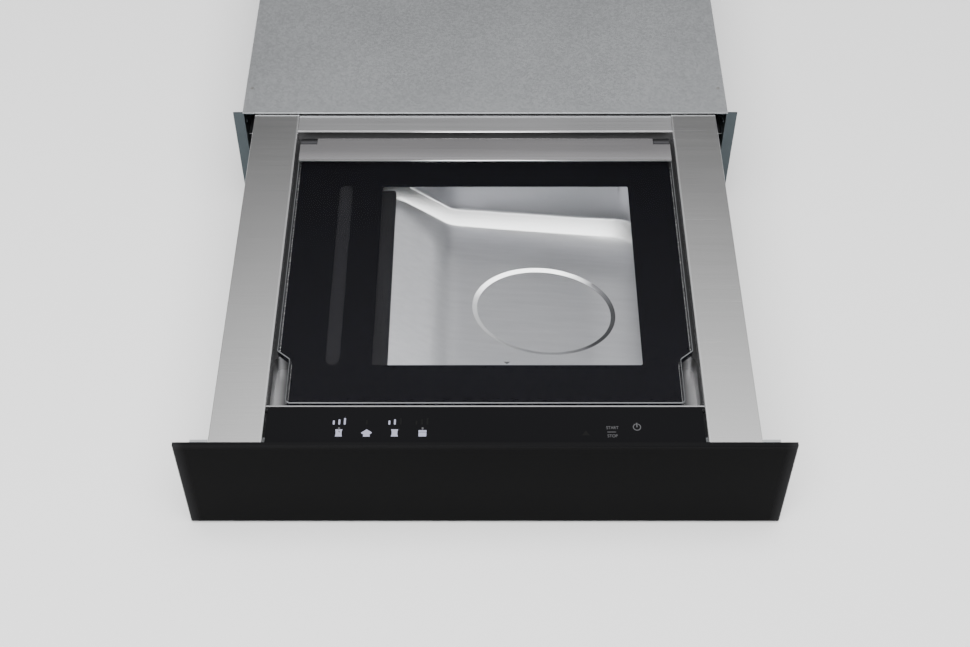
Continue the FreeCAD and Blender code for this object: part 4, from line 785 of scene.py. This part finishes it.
def makeBeads():
    # rounded front edges of the two strips behind the lid
    radius = beads["radius"]
    for name, body in beads["strips"].items():
        low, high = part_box(name)
        centre = (low.y, high.z - radius)
        section = []
        for i in range(beads["steps"] + 1):
            angle = math.pi / 2 + math.pi * i / beads["steps"]
            section.append((centre[0] + radius * math.cos(angle), centre[1] + radius * math.sin(angle)))
        section.append((centre[0] + radius / 2, centre[1] - radius))
        section.append((centre[0] + radius / 2, centre[1] + radius))
        mesh = sweptStrip(section, low.x + beads["inset"], high.x - beads["inset"])
        finished(name + "_bead", mesh, "bead", body)


screw = {"radius": 3.6 * mm, "tall": 1.8 * mm, "rings": 9, "around": 40, "arm": 0.15, "reach": 0.58,
         "sink": 0.55, "rim": 0.45}


def screwHead():
    # a domed head with a cross recess, standing on its seat at zero height
    radius, tall, rings, around = screw["radius"], screw["tall"], screw["rings"], screw["around"]
    arm, reach, sink = screw["arm"] * radius, screw["reach"] * radius, screw["sink"] * tall
    grid = bmesh.new()
    centre = grid.verts.new((0, 0, tall - sink))
    loops = []
    for step in range(1, rings + 1):
        r = radius * step / rings
        loop = []
        for i in range(around):
            angle = 2 * math.pi * i / around
            x, y = r * math.cos(angle), r * math.sin(angle)
            z = tall * (screw["rim"] + (1 - screw["rim"]) * math.sqrt(max(0.0, 1 - (r / radius) ** 2)))
            if min(abs(x), abs(y)) < arm and max(abs(x), abs(y)) < reach:
                z -= sink
            loop.append(grid.verts.new((x, y, z)))
        loops.append(loop)
    loops.append([grid.verts.new((vertex.co.x, vertex.co.y, 0)) for vertex in loops[-1]])
    for i in range(around):
        j = (i + 1) % around
        grid.faces.new((centre, loops[0][i], loops[0][j]))
        for inner, outer in zip(loops, loops[1:]):
            grid.faces.new((inner[i], outer[i], outer[j], inner[j]))
    grid.faces.new(list(reversed(loops[-1])))
    bmesh.ops.recalc_face_normals(grid, faces=grid.faces)
    mesh = bpy.data.meshes.new("screw_head")
    grid.to_mesh(mesh)
    grid.free()
    return mesh


def scatterTree():
    # instances of one piece on a cloud of points, each turned to face a way and twisted by chance
    tree = bpy.data.node_groups.new("ScatterFasteners", "GeometryNodeTree")
    tree.is_modifier = True
    interface = tree.interface
    interface.new_socket(name="Places", in_out="INPUT", socket_type="NodeSocketGeometry")
    named = {}
    for name, kind in (("Piece", "NodeSocketObject"), ("Turn", "NodeSocketVector"), ("Seed", "NodeSocketInt"),
                       ("Finish", "NodeSocketMaterial")):
        named[name] = interface.new_socket(name=name, in_out="INPUT", socket_type=kind).identifier
    interface.new_socket(name="Fasteners", in_out="OUTPUT", socket_type="NodeSocketGeometry")
    make = Maker(tree)
    entry = make.node("NodeGroupInput")
    points = make.node("GeometryNodeMeshToPoints", None, {"Mesh": entry.outputs["Places"]})
    source = make.node("GeometryNodeObjectInfo", {"transform_space": "ORIGINAL"},
                       {"Object": entry.outputs["Piece"]})
    chance = make.node("FunctionNodeRandomValue", {"data_type": "FLOAT"},
                       {2: 0.0, 3: 2 * math.pi, "Seed": entry.outputs["Seed"]})
    twist = make.node("ShaderNodeCombineXYZ", None, {"Z": chance.outputs[1]})
    facing = make.node("FunctionNodeEulerToRotation", None, {0: entry.outputs["Turn"]})
    turned = make.node("FunctionNodeRotateRotation", {"rotation_space": "LOCAL"},
                       {0: facing.outputs[0], 1: twist.outputs[0]})
    placed = make.node("GeometryNodeInstanceOnPoints", None,
                       {"Points": points.outputs[0], "Instance": source.outputs["Geometry"],
                        "Rotation": turned.outputs[0]})
    real = make.node("GeometryNodeRealizeInstances", None, {0: placed.outputs[0]})
    finish = make.node("GeometryNodeSetMaterial", None,
                       {"Geometry": real.outputs[0], "Material": entry.outputs["Finish"]})
    make.node("NodeGroupOutput", None, {0: finish.outputs[0]})
    return tree, named


scatter, scatterInputs = scatterTree()


def spread(name, places, turn, body, seed):
    # screw heads on a list of places
    cloud = bpy.data.meshes.new(name + "_places")
    cloud.from_pydata(places, [], [])
    host = bpy.data.objects.new(name + "_host", cloud)
    single = bpy.data.objects.new(name + "_single", screwHead())
    for each in (host, single):
        bpy.context.scene.collection.objects.link(each)
    modifier = host.modifiers.new("Scatter", "NODES")
    modifier.node_group = scatter
    values = {"Piece": single, "Turn": turn, "Seed": seed, "Finish": finishes["screws"]}
    for key, value in values.items():
        modifier[scatterInputs[key]] = value
    bpy.context.view_layer.update()
    ready = host.evaluated_get(bpy.context.evaluated_depsgraph_get())
    mesh = bpy.data.meshes.new_from_object(ready)
    bpy.data.objects.remove(host)
    bpy.data.objects.remove(single)
    finished(name, mesh, "screws", body)


turnTo = {"rear": (-math.pi / 2, 0, 0), "right": (0, math.pi / 2, 0), "left": (0, -math.pi / 2, 0),
          "down": (math.pi, 0, 0)}
# places in millimetres on the rear and side walls, the drawer's rear wall and the tray's underside
fasteners = {
    "rearX": (-266, -160, -54, 54, 160, 250), "rearZ": (12, 122), "latchX": (-11, 11), "latchUp": 4,
    "sideY": (-228, -110, 20, 150), "sideZ": 62, "hemY": (-200, 0, 200), "hemZ": (8, 126),
    "wallX": (-244, -60, 60, 244), "wallZ": (18, 112), "fanReach": 34,
    "footX": (-42, 52), "footY": (412, 472), "postX": (-241, -117), "postY": (55, 225),
    "seeds": {"rear": 5, "right": 7, "left": 9, "drawer": 11, "tray": 13},
}


def makeFasteners():
    seeds = fasteners["seeds"]
    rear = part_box("housing_rear")[1].y
    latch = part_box("latch_plunger")[0].z + fasteners["latchUp"] * mm
    places = [(x * mm, rear, z * mm) for x in fasteners["rearX"] for z in fasteners["rearZ"]]
    places += [(x * mm, rear, latch) for x in fasteners["latchX"]]
    spread("housing_rear_screws", places, turnTo["rear"], "housing", seeds["rear"])
    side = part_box("housing_top")[1].x
    for name, sign in (("right", 1), ("left", -1)):
        places = [(sign * side, y * mm, fasteners["sideZ"] * mm) for y in fasteners["sideY"]]
        places += [(sign * side, y * mm, z * mm) for y in fasteners["hemY"] for z in fasteners["hemZ"]]
        spread("housing_screws_" + name, places, turnTo[name], "housing", seeds[name])
    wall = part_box("chassis_rear")[1].y
    places = [(x * mm, wall, z * mm) for x in fasteners["wallX"] for z in fasteners["wallZ"]]
    fan = (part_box("fan_frame")[0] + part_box("fan_frame")[1]) / 2
    reach = fasteners["fanReach"] * mm
    places += [(fan.x + a * reach, wall, fan.z + b * reach) for a in (-1, 1) for b in (-1, 1)]
    spread("drawer_rear_screws", places, turnTo["rear"], "drawer", seeds["drawer"])
    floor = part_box("chassis_tray")[0].z
    places = []
    for group in ("foot", "post"):
        places += [(x * mm, drawerFront + y * mm, floor)
                   for x in fasteners[group + "X"] for y in fasteners[group + "Y"]]
    spread("tray_screws", places, turnTo["down"], "drawer", seeds["tray"])


plate = {"left": 70 * mm, "right": 140 * mm, "low": 54 * mm, "high": 82 * mm, "corner": 3 * mm,
         "thick": 0.3 * mm, "steps": 6}


def makePlate():
    # a blank foil plate with round corners on the rear wall
    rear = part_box("housing_rear")[1].y
    corner = plate["corner"]
    left, right = plate["left"] + corner, plate["right"] - corner
    low, high = plate["low"] + corner, plate["high"] - corner
    outline = []
    for x, z, start in ((right, high, 0), (left, high, 90), (left, low, 180), (right, low, 270)):
        for i in range(plate["steps"] + 1):
            angle = math.radians(start + 90 / plate["steps"] * i)
            outline.append((x + corner * math.cos(angle), z + corner * math.sin(angle)))
    mesh = flatShape([outline], 0, plate["thick"])
    for vertex in mesh.vertices:
        x, z, out = vertex.co
        vertex.co = (x, rear + out, z)
    mesh.flip_normals()
    finished("blank_plate", mesh, "plate", "housing")


makeSymbols()
makeWords()
makeFilms()
makeLidEdge()
makeBeads()
makeFasteners()
makePlate()
print("symbols, edges, beads and fasteners")


# The camera stands in front of the open drawer and looks down at it. It is placed from the front face and the
# top of the front glass, and its focal length is in pixels.
view = {"back": 850.4 * mm, "up": 1179.5 * mm, "side": -0.2 * mm, "pitch": 49.60, "focal": 1524.6,
        "wide": 970, "sensor": 36, "farthest": 50}


def placeCamera():
    camera = bpy.data.objects.new("Camera", bpy.data.cameras.new("Camera"))
    bpy.context.scene.collection.objects.link(camera)
    camera.location = (view["side"], drawerFront - view["back"], drawerTop + view["up"])
    camera.rotation_euler = (math.radians(90 - view["pitch"]), 0, 0)
    camera.data.sensor_width = view["sensor"]
    camera.data.lens = view["focal"] * view["sensor"] / view["wide"]
    camera.data.clip_end = view["farthest"]
    bpy.context.scene.camera = camera


sky = {
    "stops": [(0.0, (0.7, 0.7, 0.7)), (0.5, (0.6, 0.6, 0.6)), (0.72, (0.50, 0.50, 0.50)),
              (0.77, (0.06, 0.06, 0.062)), (0.83, (0.12, 0.12, 0.123)), (0.89, (1.0, 1.0, 1.0)),
              (1.0, (1.0, 1.0, 1.0))],
    "front": 1.2, "frontFrom": 0.3, "frontWide": 0.4, "rising": 0.4,
    "sideUp": 0.50, "sideTall": 0.06, "right": 2.5, "rightFrom": 0.32, "rightWide": 0.2, "rightTop": 0.72,
    "rightFade": 0.15, "left": 0.85, "leftFrom": 0.17, "leftWide": 0.12, "strength": 1.06,
    "shown": (0.9, 0.9, 0.9, 1),
}


def makeWorld():
    # what the metal reflects: grey walls, a dark band above them and a bright ceiling; brighter behind the
    # viewer and high on the right, darker high on the left
    world = bpy.data.worlds.new("Studio")
    bpy.context.scene.world = world
    world.use_nodes = True
    make = Maker(world.node_tree)
    x, y, z = make.axes(make.node("ShaderNodeTexCoord").outputs["Generated"])
    ramp = make.node("ShaderNodeValToRGB", {"stops": sky["stops"]}, {"Fac": z * 0.5 + 0.5})
    high = (z / sky["rising"]).clamp()
    ahead = (-y).rise(sky["frontFrom"], sky["frontWide"]) * high * sky["front"]
    middle = z.rise(sky["sideUp"], sky["sideTall"])
    below = ((sky["rightTop"] - z) / sky["rightFade"]).clamp()
    right = x.rise(sky["rightFrom"], sky["rightWide"]) * middle * below * sky["right"]
    left = (-x).rise(sky["leftFrom"], sky["leftWide"]) * middle * sky["left"]
    strength = (ahead + right + 1 - left) * sky["strength"]
    light = make.node("ShaderNodeBackground", None, {"Color": ramp.outputs[0], "Strength": strength})
    pale = make.node("ShaderNodeBackground", None, {"Color": sky["shown"], "Strength": 1.0})
    path = make.node("ShaderNodeLightPath")
    mixed = make.node("ShaderNodeMixShader", None,
                      {0: path.outputs["Is Camera Ray"], 1: light.outputs[0], 2: pale.outputs[0]})
    make.node("ShaderNodeOutputWorld", None, {"Surface": mixed.outputs[0]})


lamps = {
    "KeyLamp": {"place": (0.0, -1.0, 2.4), "aim": (0, -0.45, 0.1), "size": (3.2, 2.2), "power": 115},
    "FrontLamp": {"place": (-0.8, -2.6, 1.8), "aim": (0, -0.6, 0.1), "size": (2.0, 1.4), "power": 36},
}


def makeLamps():
    for name, settings in lamps.items():
        data = bpy.data.lights.new(name, "AREA")
        data.shape = "RECTANGLE"
        data.size, data.size_y = settings["size"]
        data.energy = settings["power"]
        lamp = bpy.data.objects.new(name, data)
        bpy.context.scene.collection.objects.link(lamp)
        lamp.location = settings["place"]
        way = Vector(settings["aim"]) - Vector(settings["place"])
        lamp.rotation_euler = way.to_track_quat("-Z", "Y").to_euler()


ground = {"reach": 8, "below": 0.5 * mm, "colour": (0.92, 0.92, 0.92), "rough": 0.9, "gloss": 0.1}


def makeFloor():
    reach, level = ground["reach"], -ground["below"]
    grid = bmesh.new()
    sides = ((-1, -1), (1, -1), (1, 1), (-1, 1))
    grid.faces.new([grid.verts.new((x * reach, y * reach, level)) for x, y in sides])
    mesh = bpy.data.meshes.new("Floor")
    grid.to_mesh(mesh)
    grid.free()
    floor = bpy.data.objects.new("Floor", mesh)
    bpy.context.scene.collection.objects.link(floor)
    material, make = newMaterial("PaleFloor")
    make.surface({"Base Color": rgb(ground["colour"]), "Roughness": ground["rough"],
                  "Specular IOR Level": ground["gloss"]})
    mesh.materials.append(material)


placeCamera()
makeWorld()
makeFloor()
makeLamps()
print("camera, world, floor and lamps")
